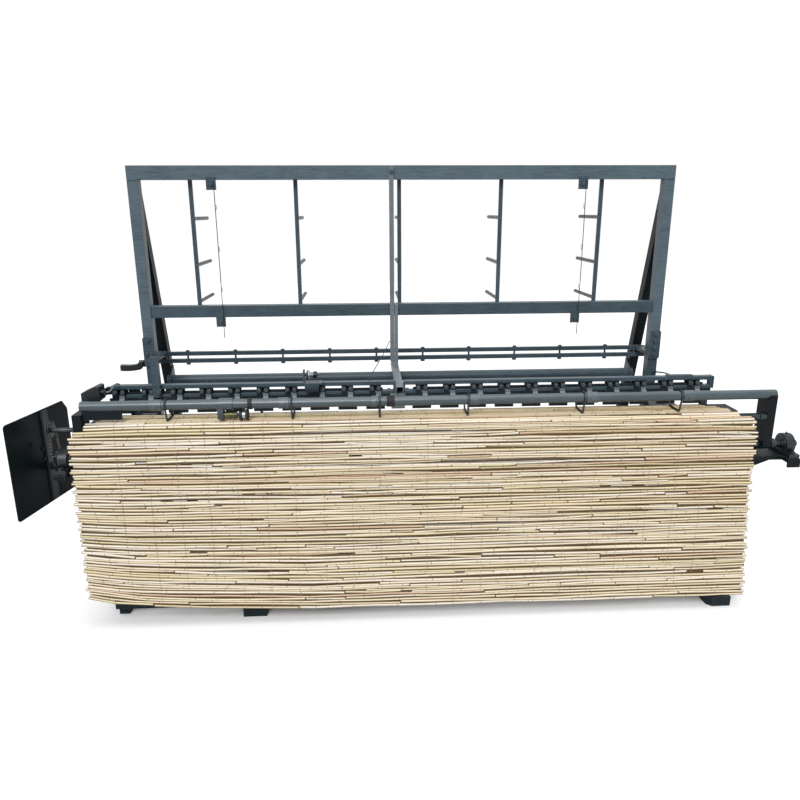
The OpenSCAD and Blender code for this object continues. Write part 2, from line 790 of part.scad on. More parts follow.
// Upright flat bar that guides the reeds' ends, with its spacer in front of the slot and its clamp
// plate behind
module side_guide() {
    left = -909;
    right = -884;
    spacer_w = 11;
    guide_top = 996;
    color(paint) placed() {
        difference() {
            union() {
                block([left, -18, beam_z + 5], [right, -10, guide_top]);
                block([right - spacer_w, -10, slot_z - clamp_lap], [right, 0, beam_up_z + clamp_lap]);
            }
            bar_y(-19, 1, guide_bolt_x, bolt_z, head_bolt_r + 0.1);
        }
        difference() {
            block([guide_bolt_x - 8.5, beam_t, slot_z - clamp_lap],
                [guide_bolt_x + 8.5, beam_t + clamp_plate_t, beam_up_z + clamp_lap]);
            bar_y(beam_t - 1, beam_t + clamp_plate_t + 1, guide_bolt_x, bolt_z, head_bolt_r + 0.1);
        }
    }
}

// Switch box with a sloping lid at the beam's left end, on a short plate
module switch_box() {
    left = -1138;
    right = -1076;
    color(dark) placed() {
        plate_xz(-62, -8) polygon([[left, 852], [right, 852], [right, 901], [right - 12, 903], [left, 880]]);
        block([right, -30, 858], [right + 3, 20, 884]);
        block([right + 3, 2, 858], [beam_left, 20, 884]);
        bar_x(right, right + 12, -46, 880, 8);
        hex_x(right + 12, right + 18, -46, 880, 9);
    }
}

// Short cable from the switch box's gland to the beam
module switch_cable() {
    gland = -1058;
    color("#b9bdbd") placed() cord([[gland, -46, 880], [-1051, -46, 880], [-1044, -44, 884],
        [-1037, -36, 894], [-1032, -22, 901], [-1030, -6, 899], [-1030, 6, 893.5]], 3);
}

// Bracket and spindle of the thread tensioner on top of the beam
tens_x = -351;
tens_y = -12;
tens_z = 922;
module tensioner_bracket() {
    color("#aab0b2") placed() {
        block([tens_x - 33, -30, beam_top], [tens_x + 33, 14, beam_top + 5]);
        block([tens_x - 28, -30, 862], [tens_x + 22, -15, beam_top]);
        block([tens_x - 33, tens_y - 12, beam_top + 5], [tens_x - 27, tens_y + 12, tens_z + 18]);
        bar_x(tens_x - 27, tens_x + 24, tens_y, tens_z, 4);
    }
}

// Two tension discs and the knob that presses them together
module tension_knob() {
    r = 17;
    color("#c9cfd2") placed() difference() {
        union() {
            bar_x(tens_x - 20, tens_x - 17, tens_y, tens_z, r);
            bar_x(tens_x - 14, tens_x - 11, tens_y, tens_z, r);
            bar_x(tens_x - 17, tens_x + 14, tens_y, tens_z, 8);
            bar_x(tens_x + 4, tens_x + 16, tens_y, tens_z, 12);
        }
        bar_x(tens_x - 21, tens_x + 17, tens_y, tens_z, 4 + run_gap);
    }
}

// Flat table bar under the newest reeds
module reed_ledge() {
    color(dark) placed()
        block([leg_x[0] - post_w / 2, leg_y - 30, leg_top], [leg_x[2] + post_w / 2, 20, mat_under]);
}

// Plates behind the beam that carry the rocker shaft
rocker_bracket_x = [-creel_half + 120, -85, -18, creel_half - 117];
module rocker_brackets() {
    t = 10;
    color(paint) placed() for (x = rocker_bracket_x)
        plate_yz(x, x + t) difference() {
            union() {
                polygon([[beam_t, beam_z - 7], [beam_t, slot_z - 1], [beam_t + 16, slot_z - 1],
                    [rocker_y + 12, rocker_z + 16],
                    [rocker_y, rocker_z - 21], [rocker_y - 16, rocker_z - 14], [rocker_y - 21, rocker_z]]);
                translate([rocker_y, rocker_z]) circle(r = 21);
            }
            translate([rocker_y, rocker_z]) circle(r = rocker_d / 2 + run_gap);
        }
}

// The woven mat: a table part, a bend over the draw roller and a long hanging part with staggered ends
function stagger(i) = ragged * (0.5 + 0.5 * sin(i * 137.5) * cos(i * 61));
hang_rows = floor((mat_bend_z - mat_bottom) / reed_d);
top_rows = floor(-mat_bend_y / reed_d);
function short_at(i, most) = most * max(0, 1 - i / 5);
function lifted_at(i) = corner_run * pow(max(0, 1 - (hang_rows - i - 0.5) * reed_d / corner_lift), 1.1);
function spread_at(i) = low_spread * max(0, i / hang_rows - 0.4) / 0.6;
module mat_hang() {
    left = [for (i = [0 : hang_rows - 1]) for (s = [0, 1])
        [mat_left + short_at(i, 20) + lifted_at(i) + stagger(i), mat_bend_z - (i + s) * reed_d]];
    right = [for (i = [hang_rows - 1 : -1 : 0]) for (s = [1, 0])
        [mat_right - short_at(i, 20) + spread_at(i) - stagger(i + 40), mat_bend_z - (i + s) * reed_d]];
    plate_xz(mat_front, mat_back) polygon(concat(left, right));
}
module mat_table() {
    left = [for (i = [0 : top_rows - 1]) for (s = [0, 1])
        [mat_left + top_short_left + stagger(i + 7), mat_bend_y + (i + s) * reed_d]];
    right = [for (i = [top_rows - 1 : -1 : 0]) for (s = [1, 0])
        [mat_right - top_short_right - stagger(i + 23), mat_bend_y + (i + s) * reed_d]];
    translate([0, 0, mat_under]) linear_extrude(reed_d) polygon(concat(left, right));
}
module mat_bend() {
    plate_yz(arm_left_x + arm_w + 4, mat_right - top_short_right / 2) intersection() {
        difference() {
            translate([mat_bend_y, mat_bend_z]) circle(r = mat_bend_r + reed_d);
            translate([mat_bend_y, mat_bend_z]) circle(r = mat_bend_r);
        }
        translate([mat_bend_y - mat_bend_r - reed_d, mat_bend_z]) square(mat_bend_r + reed_d);
    }
}
module mat() {
    color(straw) placed() union() {
        mat_hang();
        mat_table();
        mat_bend();
    }
}

// Presser pipe with its left gusset plate
module presser_pipe() {
    r = pipe_d / 2;
    color(paint) placed() {
        difference() {
            bar_x(pipe_left, pipe_right, pipe_y, pipe_z, r);
            bar_x(pipe_left - 1, pipe_right - pipe_wall, pipe_y, pipe_z, r - pipe_wall);
        }
        difference() {
            block([arm_left_x + arm_w, pipe_y - 5, gusset_z], [gusset_right, pipe_y + 5, pipe_z]);
            bar_x(arm_left_x, gusset_right + 1, pipe_y, pipe_z, r);
        }
    }
}

// Upright arms on the main shaft, which carry the presser pipe and the draw roller
module presser_arm(x, top) {
    sleeve_r = 18;
    front = shaft_y - arm_depth / 2;
    back = shaft_y + arm_depth / 2;
    difference() {
        union() {
            difference() {
                tube_z(x, x + arm_w, front, back, shaft_z, top, 2.5);
                bar_x(x - 1, x + arm_w + 1, shaft_y, shaft_z, sleeve_r - 1);
            }
            bar_x(x, x + arm_w, shaft_y, shaft_z, sleeve_r);
        }
        bar_x(x - 1, x + arm_w + 1, shaft_y, shaft_z, shaft_d / 2 + run_gap);
        children();
    }
}
bush_r = 11;
module presser_arms() {
    color(paint) placed() {
        presser_arm(arm_left_x, arm_top_left - 3)
            bar_x(arm_left_x - 1, arm_left_x + arm_w + 1, roller_y, roller_z, bush_r);
        block([arm_left_x, shaft_y - arm_depth / 2, arm_top_left - 3],
            [arm_left_x + arm_w, shaft_y + arm_depth / 2, arm_top_left]);
        presser_arm(arm_right_x, pipe_z) {
            bar_x(arm_right_x - 1, arm_right_x + 5, roller_y, roller_z, bush_r);
            bar_x(arm_right_x - 1, arm_right_x + arm_w + 1, pipe_y, pipe_z, pipe_d / 2);
        }
    }
}

// Hooks that hold the newest rows down, each hung on a band round the pipe
module presser_hooks() {
    band = 3;
    r = pipe_d / 2;
    foot = mat_top;
    runner = 8;
    tip = pipe_y + hook_run;
    color(dark) placed() for (x = hook_x) {
        plate_yz(x - hook_t / 2, x + hook_t / 2) difference() {
            union() {
                translate([pipe_y, pipe_z]) circle(r = r + band);
                polygon([[pipe_y - 15, pipe_z - 8], [pipe_y - 5, foot + 6], [pipe_y, foot], [tip - 12, foot],
                    [tip, foot + 14], [tip - 5, foot + 16], [tip - 15, foot + runner],
                    [pipe_y + 6, foot + runner], [pipe_y + 5, pipe_z - 8]]);
            }
            translate([pipe_y, pipe_z]) circle(r = r);
        }
    }
}

// Split clamps on the pipe with a bolt in front, and the plain band near the counter
module pipe_clamps() {
    r = pipe_d / 2;
    shell = 2.5;
    color(paint) placed() {
        for (i = [0 : 5]) difference() {
            union() {
                bar_x(clamp_x[i] - clamp_w[i] / 2, clamp_x[i] + clamp_w[i] / 2, pipe_y, pipe_z, r + shell);
                hex_y(pipe_y - r - shell - 5, pipe_y - r + 1, clamp_x[i], pipe_z, 7);
            }
            bar_x(clamp_x[i] - 50, clamp_x[i] + 50, pipe_y, pipe_z, r);
        }
        difference() {
            bar_x(-567, -554, pipe_y, pipe_z, r + shell);
            bar_x(-568, -553, pipe_y, pipe_z, r);
        }
    }
}

// Length counter that hangs from the pipe
counter_left = -664;
module counter_housing() {
    r = pipe_d / 2;
    wheel_left = -600;
    color(dark) placed() difference() {
        union() {
            bar_x(counter_left, counter_left + 46, pipe_y, pipe_z, r + 4);
            block([counter_left - 6, pipe_y - 16, 794], [counter_left + 14, pipe_y + 16, 836]);
            bar_x(counter_left + 14, counter_left + 58, pipe_y, counter_z, 12);
            bar_x(counter_left + 58, wheel_left + 35, pipe_y, counter_z, 5);
        }
        bar_x(counter_left - 10, counter_left + 60, pipe_y, pipe_z, r);
    }
}

// Measuring wheel that rolls on the mat
module counter_wheel() {
    left = -598;
    color("#1c1e20") placed() difference() {
        union() {
            bar_x(left, left + 8, counter_y, counter_z, counter_r);
            bar_x(left + 8, left + 22, counter_y, counter_z, 13);
            bar_x(left + 22, left + 30, counter_y, counter_z, counter_r);
        }
        bar_x(left - 1, left + 31, counter_y, counter_z, 5 + run_gap);
    }
}

// Cast pillow blocks that carry the main shaft
module pillow_blocks() {
    foot_t = 15;
    body_r = 42;
    half = block_w / 2;
    color(dark) placed() for (x = block_x) difference() {
        union() {
            block([x - half, shaft_y - block_len / 2, shelf_top],
                [x + half, shaft_y + block_len / 2, shelf_top + foot_t]);
            intersection() {
                bar_x(x - half + 3, x + half - 3, shaft_y, shaft_z, body_r - 3);
                block([x - half, shaft_y - body_r, shelf_top],
                    [x + half, shaft_y + body_r, shaft_z + body_r]);
            }
            block([x - half + 3, shaft_y - 31, shelf_top], [x + half - 3, shaft_y + 31, shaft_z - 10]);
            for (s = [-1, 1]) hex_z(shelf_top + foot_t, shelf_top + foot_t + 8, x, shaft_y + s * 52, 9);
        }
        bar_x(x - half - 1, x + half + 1, shaft_y, shaft_z, shaft_d / 2 + run_gap);
    }
}

// Bearing bushes of the draw roller
module roller_bushes() {
    bore = journal_d / 2 + run_gap;
    color(steel) placed() {
        difference() {
            bar_x(arm_left_x - 2, arm_left_x + arm_w + 2, roller_y, roller_z, bush_r);
            bar_x(arm_left_x - 3, arm_left_x + arm_w + 3, roller_y, roller_z, bore);
        }
        difference() {
            union() {
                bar_x(arm_right_x - 21, arm_right_x, roller_y, roller_z, 14);
                bar_x(arm_right_x - 1, arm_right_x + 5, roller_y, roller_z, bush_r);
            }
            bar_x(arm_right_x - 22, arm_right_x + 6, roller_y, roller_z, bore);
        }
    }
}

// Places given along and above the chain guard's sheet, measured from its rear edge
module on_guard() {
    translate([guard_rear_x, guard_rear_y, 0]) rotate([0, 0, -guard_splay]) children();
}

// Black sheet outside the chain with a stiffening strip, its rear upper corner cut off
guard_bolts = [[164, 683], [216, 714], [162, 645]];
strip_u = 137;
strip_t = 8;
module guard_plate() {
    cut = 24;
    top = guard_z + guard_h;
    color("#15181b") placed() on_guard() {
        difference() {
            plate_yz(-guard_t, 0) polygon([[0, guard_z + 8], [-8, guard_z], [-guard_len + 8, guard_z],
                [-guard_len, guard_z + 8], [-guard_len, top - 8], [-guard_len + 8, top], [-cut, top],
                [0, top - cut * 1.4]]);
            for (b = guard_bolts) bar_x(-guard_t - 1, 1, -b[0], b[1], 4.1);
        }
        block([0, -strip_u - 15, guard_z + 6], [strip_t, -strip_u + 15, top - 6]);
        for (b = guard_bolts) {
            hex_x(0, 5, -b[0], b[1], 7);
            bar_x(-guard_t - 4, 0, -b[0], b[1], 4);
            hex_x(-guard_t - 5, -guard_t, -b[0], b[1], 7);
        }
    }
}

// Arm from the left bearing shelf to the guard's strip
module guard_bracket() {
    reach = 70;
    color(dark) placed() difference() {
        block([shelf_left - reach, -47, shelf_z], [shelf_left, -17, shelf_top]);
        on_guard() block([-60, -guard_len, 0], [strip_t, 0, creel_h]);
    }
}

// Roller chain from the main shaft to the draw roller
chain_out = 4.5;
chain_in = 3.9;
chain_half = 3;
module roller_chain() {
    color("#3a3d40") placed() band_loop(roller_chain_x - chain_half, roller_chain_x + chain_half,
        [shaft_y, shaft_z], sprocket_r, [roller_y, roller_z], sprocket_r, chain_out, chain_in);
}

// Drive chain from the gearbox to the main shaft
module drive_chain() {
    color("#3a3d40") placed() band_loop(drive_x - chain_half, drive_x + chain_half,
        [shaft_y, shaft_z], sprocket_r, [gearbox_y, gearbox_z], sprocket_r, chain_out, chain_in);
}
module sprocket(x, y, z) {
    bar_x(x - 4, x + 4, y, z, sprocket_r - chain_in - clear_gap);
}

// Motor with its foot, fan cover and terminal box, on the drive's base plate
module motor() {
    right = motor_left + motor_len;
    color("#4b6472") placed() difference() {
        union() {
            block([drive_x - 10, leg_y - post_w / 2, rail_top],
                [right + 20, creel_y + post_w / 2, rail_top + base_plate_t]);
            bar_x(motor_left, right, motor_y, motor_z, motor_r);
            bar_x(right, right + 14, motor_y, motor_z, motor_r - 6);
            block([motor_left + 30, motor_y - 60, rail_top + base_plate_t],
                [right - 40, motor_y + 60, motor_z - 40]);
            block([motor_left + 60, motor_y - 30, motor_z],
                [motor_left + 130, motor_y + 30, motor_z + motor_r + 28]);
        }
        bar_x(motor_left - 1, motor_left + 30, motor_y, motor_z, 10 + run_gap);
    }
}

// Reduction gearbox between the belt and the drive chain
gearbox_left = drive_x + 14;
gearbox_right = gearbox_left + 100;
module gearbox() {
    color("#4b6472") placed() difference() {
        union() {
            block([gearbox_left, gearbox_y - 62, rail_top + base_plate_t],
                [gearbox_right, gearbox_y + 62, gearbox_z + 64]);
            bar_x(gearbox_left - 2, gearbox_right + 2, gearbox_y, gearbox_z, 40);
        }
        bar_x(gearbox_left - 3, gearbox_left + 40, gearbox_y, gearbox_z, shaft_d / 2 + run_gap);
        bar_x(gearbox_right - 40, gearbox_right + 3, gearbox_y, gearbox_z, 10 + run_gap);
    }
}

// Grooved pulley for a V belt
belt_half = 6;
module grooved_pulley(x, y, z, r) {
    flange = 4;
    bar_x(x - belt_half - clear_gap - flange, x - belt_half - clear_gap, y, z, r);
    bar_x(x - belt_half - clear_gap, x + belt_half + clear_gap, y, z, r - 7 - clear_gap);
    bar_x(x + belt_half + clear_gap, x + belt_half + clear_gap + flange, y, z, r);
}

// Belt from the motor to the gearbox
module v_belt() {
    color("#1c1e20") placed() band_loop(belt_x - belt_half, belt_x + belt_half,
        [motor_y, motor_z], motor_pulley_r, [gearbox_y, gearbox_z], gearbox_pulley_r, 1, 7);
}

// Main shaft with its two sprockets and a set collar
module main_shaft() {
    color(steel) placed() {
        bar_x(shaft_left, shaft_right, shaft_y, shaft_z, shaft_d / 2);
        sprocket(roller_chain_x, shaft_y, shaft_z);
        sprocket(drive_x, shaft_y, shaft_z);
        bar_x(arm_right_x + arm_w + 14, arm_right_x + arm_w + 30, shaft_y, shaft_z, 20);
    }
}

// Draw roller with its journals and sprocket
module draw_roller() {
    color(steel) placed() {
        bar_x(arm_left_x + arm_w + 6, arm_right_x - 24, roller_y, roller_z, roller_d / 2);
        bar_x(shaft_left + 4, arm_right_x, roller_y, roller_z, journal_d / 2);
        sprocket(roller_chain_x, roller_y, roller_z);
    }
}

// Rocker shaft with the arm that the connecting rod drives
module needle_shaft() {
    arm_t = 12;
    arm_right = rod_x0 + rod_t + 4 + arm_t;
    color("#b4babd") placed() {
        bar_x(beam_left + 4, beam_right - 8, rocker_y, rocker_z, rocker_d / 2);
        plate_yz(arm_right - arm_t, arm_right)
            band_outline([rocker_y, rocker_z], 22, [rocker_y + rocker_arm, rocker_z], 14);
        bar_x(rod_x0 - 3, arm_right, rocker_y + rocker_arm, rocker_z, 6);
    }
}

// Curved needles, one for each head, each with its arm and the hub that clamps it to the rocker shaft
module needles() {
    hub_w = 14;
    hub_r = rocker_d / 2 + 5;
    arm_half = 4;
    color("#b4babd") placed() for (c = heads_x) difference() {
        union() {
            bar_x(c - hub_w / 2, c + hub_w / 2, rocker_y, rocker_z, hub_r);
            block([c - arm_half, rocker_y - needle_arc - 2, rocker_z - 5],
                [c + arm_half, rocker_y, rocker_z + 5]);
            translate([c, rocker_y, rocker_z]) rotate([90, 0, 90]) rotate([0, 0, 180])
                rotate_extrude(angle = needle_span) translate([needle_arc, 0]) circle(r = needle_d / 2);
        }
        bar_x(c - hub_w, c + hub_w, rocker_y, rocker_z, rocker_d / 2 + run_gap);
    }
}

// Connecting rod from the crank to the rocker arm; its lower eye is the joint left open
module connecting_rod() {
    top = [rocker_y + rocker_arm, rocker_z];
    foot = [gearbox_y + crank_r, gearbox_z];
    color(steel) placed() plate_yz(rod_x0, rod_x0 + rod_t) difference() {
        union() {
            band_outline(top, 9, foot, 9);
            translate(top) circle(r = 14);
            translate(foot) circle(r = 14);
        }
        translate(top) circle(r = 6 + run_gap);
        translate(foot) circle(r = crank_pin_d / 2 + 0.2);
    }
}

// Gearbox output shaft with its sprocket, crank disc and crank pin
module crank_shaft() {
    disc_x = drive_x - 18;
    disc_r = 40;
    color(steel) placed() {
        bar_x(disc_x, gearbox_left + 38, gearbox_y, gearbox_z, shaft_d / 2);
        bar_x(disc_x, disc_x + 10, gearbox_y, gearbox_z, disc_r);
        sprocket(drive_x, gearbox_y, gearbox_z);
        bar_x(rod_x0 + rod_t + 0.5, disc_x, gearbox_y + crank_r, gearbox_z, crank_pin_d / 2);
    }
}

// Grooved pulleys, each with the end of its shaft
module gearbox_pulley() {
    color(dark) placed() {
        grooved_pulley(belt_x, gearbox_y, gearbox_z, gearbox_pulley_r);
        bar_x(gearbox_right - 38, belt_x + belt_half, gearbox_y, gearbox_z, 10);
    }
}
module motor_pulley() {
    color(dark) placed() {
        grooved_pulley(belt_x, motor_y, motor_z, motor_pulley_r);
        bar_x(belt_x - belt_half, motor_left + 28, motor_y, motor_z, 10);
    }
}

// Bracket and pin of the clutch lever on the left post
lever_x = -creel_out - 17;
lever_z = 905;
lever_r = 12;
lever_t = 26;
lever_front = creel_y - lever_t - 7;
module lever_bracket() {
    back = lever_front + lever_t + 1;
    color(dark) placed() {
        block([lever_x - 13, back, lever_z - 13], [-creel_out, back + 6, lever_z + 13]);
        bar_y(lever_front - 1, back, lever_x, lever_z, 5);
        bar_y(lever_front - 5, lever_front - 1, lever_x, lever_z, 8);
    }
}

// Clutch lever with a curved grip
module clutch_lever() {
    reach = 78;
    bow_r = 210;
    color("#17191b") placed() plate_xz(lever_front, lever_front + lever_t) difference() {
        union() {
            translate([lever_x, lever_z]) circle(r = lever_r);
            intersection() {
                translate([lever_x - reach + 26, lever_z - 12 + bow_r]) difference() {
                    circle(r = bow_r + 12, $fn = 96);
                    circle(r = bow_r - 10, $fn = 96);
                }
                translate([lever_x - reach, lever_z - 30]) square([reach, 60]);
            }
        }
        translate([lever_x, lever_z]) circle(r = 5 + run_gap);
    }
}

floor_skids();
base_rails();
front_legs();
bearing_shelves();
lower_posts();
creel_posts();
splice_plates();
creel_top_rail();
creel_mid_rail();
rear_struts();
strut_brackets();
centre_upright();
centre_tube();
beam_arms();
spool_bars();
spool_pegs();
wire_lugs();
guide_wires();
guide_bars();
guide_pins();
rear_crossbar();
frame_bolts();
beam_bars();
beam_ends();
knitting_heads();
head_bolts();
thread_fingers();
side_guide();
switch_box();
switch_cable();
tensioner_bracket();
tension_knob();
reed_ledge();
rocker_brackets();
mat();
presser_pipe();
presser_arms();
presser_hooks();
pipe_clamps();
counter_housing();
counter_wheel();
pillow_blocks();
roller_bushes();
guard_plate();
guard_bracket();
roller_chain();
drive_chain();
motor();
gearbox();
v_belt();
main_shaft();
draw_roller();
needle_shaft();
needles();
connecting_rod();
crank_shaft();
gearbox_pulley();
motor_pulley();
lever_bracket();
clutch_lever();
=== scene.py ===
# %% [markdown]
# # A reed mat loom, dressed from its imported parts
#
# The machine binds straight reeds into a mat. Spools sit on a tall creel, their yarn runs to a row of
# knitting heads on a beam, and the finished mat goes under a presser pipe and hangs down in front.
# The solids of the machine are already settled. This lesson loads them and gives each one the surface,
# the edges and the small hardware that make it look real.

import json
import math
import random

import bmesh
import bpy
from mathutils import Matrix, Vector
from mathutils.bvhtree import BVHTree


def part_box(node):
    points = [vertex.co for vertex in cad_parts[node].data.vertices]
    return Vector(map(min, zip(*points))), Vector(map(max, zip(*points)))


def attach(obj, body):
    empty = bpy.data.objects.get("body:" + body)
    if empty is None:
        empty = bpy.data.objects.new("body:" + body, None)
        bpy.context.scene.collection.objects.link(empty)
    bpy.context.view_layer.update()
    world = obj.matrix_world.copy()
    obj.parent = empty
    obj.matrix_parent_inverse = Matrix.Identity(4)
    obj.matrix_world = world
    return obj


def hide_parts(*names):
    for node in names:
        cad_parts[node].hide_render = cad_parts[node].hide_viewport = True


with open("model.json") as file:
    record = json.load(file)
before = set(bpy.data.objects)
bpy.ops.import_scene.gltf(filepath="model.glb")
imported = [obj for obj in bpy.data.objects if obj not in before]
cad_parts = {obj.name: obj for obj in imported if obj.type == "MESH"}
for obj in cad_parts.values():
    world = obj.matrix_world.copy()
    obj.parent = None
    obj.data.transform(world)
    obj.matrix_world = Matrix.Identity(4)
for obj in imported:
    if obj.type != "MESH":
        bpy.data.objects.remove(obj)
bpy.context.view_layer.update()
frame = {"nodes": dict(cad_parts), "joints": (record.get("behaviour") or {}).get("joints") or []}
axes = {joint["name"]: Vector(joint["pos_m"]) for joint in frame["joints"]}

# %% [markdown]
# ## Places come from the solids
#
# Blender's lengths here are metres. Most places can be read from the solids, so that nothing has to be
# fitted. A node may hold many separate solids, such as all the bolts of the beam. Their triangles are
# loose, so they are merged first, and each island of joined vertices is then one solid.

# %% Read the separate solids of a node
MM = 0.001


def merged(node):
    """A mesh copy of a node with its loose triangles joined."""
    bm = bmesh.new()
    bm.from_mesh(frame["nodes"][node].data)
    bmesh.ops.remove_doubles(bm, verts=bm.verts, dist=0.002 * MM)
    return bm


def corners(verts):
    """The lowest and highest corner of some vertices."""
    low = Vector([min(v.co[k] for v in verts) for k in range(3)])
    high = Vector([max(v.co[k] for v in verts) for k in range(3)])
    return low, high


def solids(node):
    """The two corners of each separate solid of a node, ordered from left to right."""
    bm = merged(node)
    waiting = set(bm.verts)
    found = []
    while waiting:
        island = {waiting.pop()}
        border = list(island)
        while border:
            vert = border.pop()
            for edge in vert.link_edges:
                other = edge.other_vert(vert)
                if other in waiting:
                    waiting.discard(other)
                    island.add(other)
                    border.append(other)
        found.append(corners(island))
    bm.free()
    return sorted(found, key=lambda pair: (round(pair[0].x, 4), round(pair[0].z, 4)))


def middle(pair):
    """The point halfway between two corners."""
    return (pair[0] + pair[1]) / 2


heads = solids("thread_fingers")
print("knitting heads", len(heads), "first at x", round(middle(heads[0]).x, 4))

# %% [markdown]
# ## Camera
#
# The picture was taken from the front, a little left of the middle and well above the mat, with the
# camera tipped down. Four values say where it looks. Its axes are worked out from the turn, the tip and
# the slight lean, because that keeps the verticals of the creel as the picture shows them.

# %% Place the camera
SENSOR = 36.0
PICTURE_PIXELS = 800
FOCAL_PIXELS = 680.0
TURN_RIGHT = math.radians(3.0)
TIP_DOWN = math.radians(15.6)
LEAN = math.radians(-0.226)
EYE = Vector((-0.2024, -2.6205, 1.4803))


def camera_axes(turn, tip, lean):
    """The right, up and backward directions of a camera that looks along +Y at rest."""
    ahead = Vector((math.sin(turn) * math.cos(tip), math.cos(turn) * math.cos(tip), -math.sin(tip)))
    right = Vector((math.cos(turn), -math.sin(turn), 0))
    up = right.cross(ahead)
    leaned_right = math.cos(lean) * right + math.sin(lean) * up
    leaned_up = -math.sin(lean) * right + math.cos(lean) * up
    return leaned_right, leaned_up, -ahead


def make_camera():
    data = bpy.data.cameras.new("front_camera")
    data.sensor_width = SENSOR
    data.lens = SENSOR * FOCAL_PIXELS / PICTURE_PIXELS
    data.clip_start = 0.05
    camera = bpy.data.objects.new("front_camera", data)
    bpy.context.scene.collection.objects.link(camera)
    aim = Matrix(camera_axes(TURN_RIGHT, TIP_DOWN, LEAN)).transposed()
    camera.matrix_world = Matrix.Translation(EYE) @ aim.to_4x4()
    bpy.context.scene.camera = camera
    return camera


camera = make_camera()
print("camera lens", round(camera.data.lens, 1), "mm at", [round(v, 3) for v in camera.location])

# %% [markdown]
# ## Node trees in few words
#
# Both materials and Geometry Nodes are trees of nodes. One helper adds a node, sets it up and wires its
# inputs, whether they are plain values or outputs of other nodes. The trees below then read like recipes.

# %% Helpers for node trees
def add(tree, kind, inputs=None, **settings):
    """Adds a node, applies its settings, then sets or links its inputs."""
    node = tree.nodes.new(kind)
    for name, value in settings.items():
        setattr(node, name, value)
    for key, value in (inputs or {}).items():
        socket = node.inputs[key]
        if isinstance(value, bpy.types.NodeSocket):
            tree.links.new(value, socket)
        else:
            socket.default_value = value
    return node


def shader(name):
    """A new material with an empty tree, and its main shader."""
    material = bpy.data.materials.new(name)
    material.use_nodes = True
    tree = material.node_tree
    tree.nodes.clear()
    surface = add(tree, "ShaderNodeBsdfPrincipled")
    add(tree, "ShaderNodeOutputMaterial", {"Surface": surface.outputs["BSDF"]})
    return material, tree, surface


def here(tree, stretch=(1, 1, 1)):
    """The point on the piece, in metres, stretched along each axis."""
    spot = add(tree, "ShaderNodeTexCoord").outputs["Object"]
    return add(tree, "ShaderNodeMapping", {"Vector": spot, "Scale": stretch}).outputs["Vector"]


def cloud(tree, vector, scale, detail=3.0, rough=0.55):
    """Soft noise between 0 and 1."""
    return add(tree, "ShaderNodeTexNoise",
               {"Vector": vector, "Scale": scale, "Detail": detail, "Roughness": rough}).outputs["Fac"]


def ramp(tree, value, stops):
    """Colours or greys for values between 0 and 1."""
    node = add(tree, "ShaderNodeValToRGB", {"Fac": value})
    elements = node.color_ramp.elements
    while len(elements) < len(stops):
        elements.new(0.5)
    for element, (place, colour) in zip(elements, stops):
        element.position = place
        element.color = (*colour, 1) if isinstance(colour, tuple) else (colour, colour, colour, 1)
    return node.outputs["Color"]


def mix(tree, share, first, second):
    """Mixes two colours."""
    node = add(tree, "ShaderNodeMix", data_type="RGBA")
    for key, value in ((0, share), (6, first), (7, second)):
        if isinstance(value, bpy.types.NodeSocket):
            tree.links.new(value, node.inputs[key])
        else:
            node.inputs[key].default_value = (*value, 1) if isinstance(value, tuple) else value
    return node.outputs[2]


def sums(tree, kind, first, second=0.5, third=None):
    """Arithmetic on values."""
    inputs = {0: first, 1: second} if third is None else {0: first, 1: second, 2: third}
    return add(tree, "ShaderNodeMath", inputs, operation=kind).outputs["Value"]


def stored(tree, name):
    """A value that the mesh stores on its points."""
    return add(tree, "ShaderNodeAttribute", attribute_name=name).outputs["Fac"]


def bumps(tree, surface, height, strength, distance):
    """Small relief on the surface."""
    node = add(tree, "ShaderNodeBump", {"Height": height, "Strength": strength, "Distance": distance})
    tree.links.new(node.outputs["Normal"], surface.inputs["Normal"])


print("node helpers ready")

# %% [markdown]
# ## Painted steel
#
# The frame is brushed with dark blue-grey enamel. Up close such paint is never even: it is a little
# lighter where it is thin, it has orange-peel relief, dust settles on faces that look up, and it is
# rubbed through along edges. The edge wear is driven by a value stored on the mesh when its edges are
# rounded, because that stays in place in every view. A second stored value darkens the few places
# that the picture shows nearly black.

# %% Make the paints
def upward_dust(tree, spot, amount):
    """How much dust lies here: only where the face looks up, and in clouds."""
    facing = add(tree, "ShaderNodeNewGeometry").outputs["Normal"]
    upward = add(tree, "ShaderNodeSeparateXYZ", {"Vector": facing}).outputs["Z"]
    settled = sums(tree, "MULTIPLY", ramp(tree, upward, [(0.55, 0.0), (0.95, 1.0)]), cloud(tree, spot, 60.0))
    return sums(tree, "MULTIPLY", settled, amount)


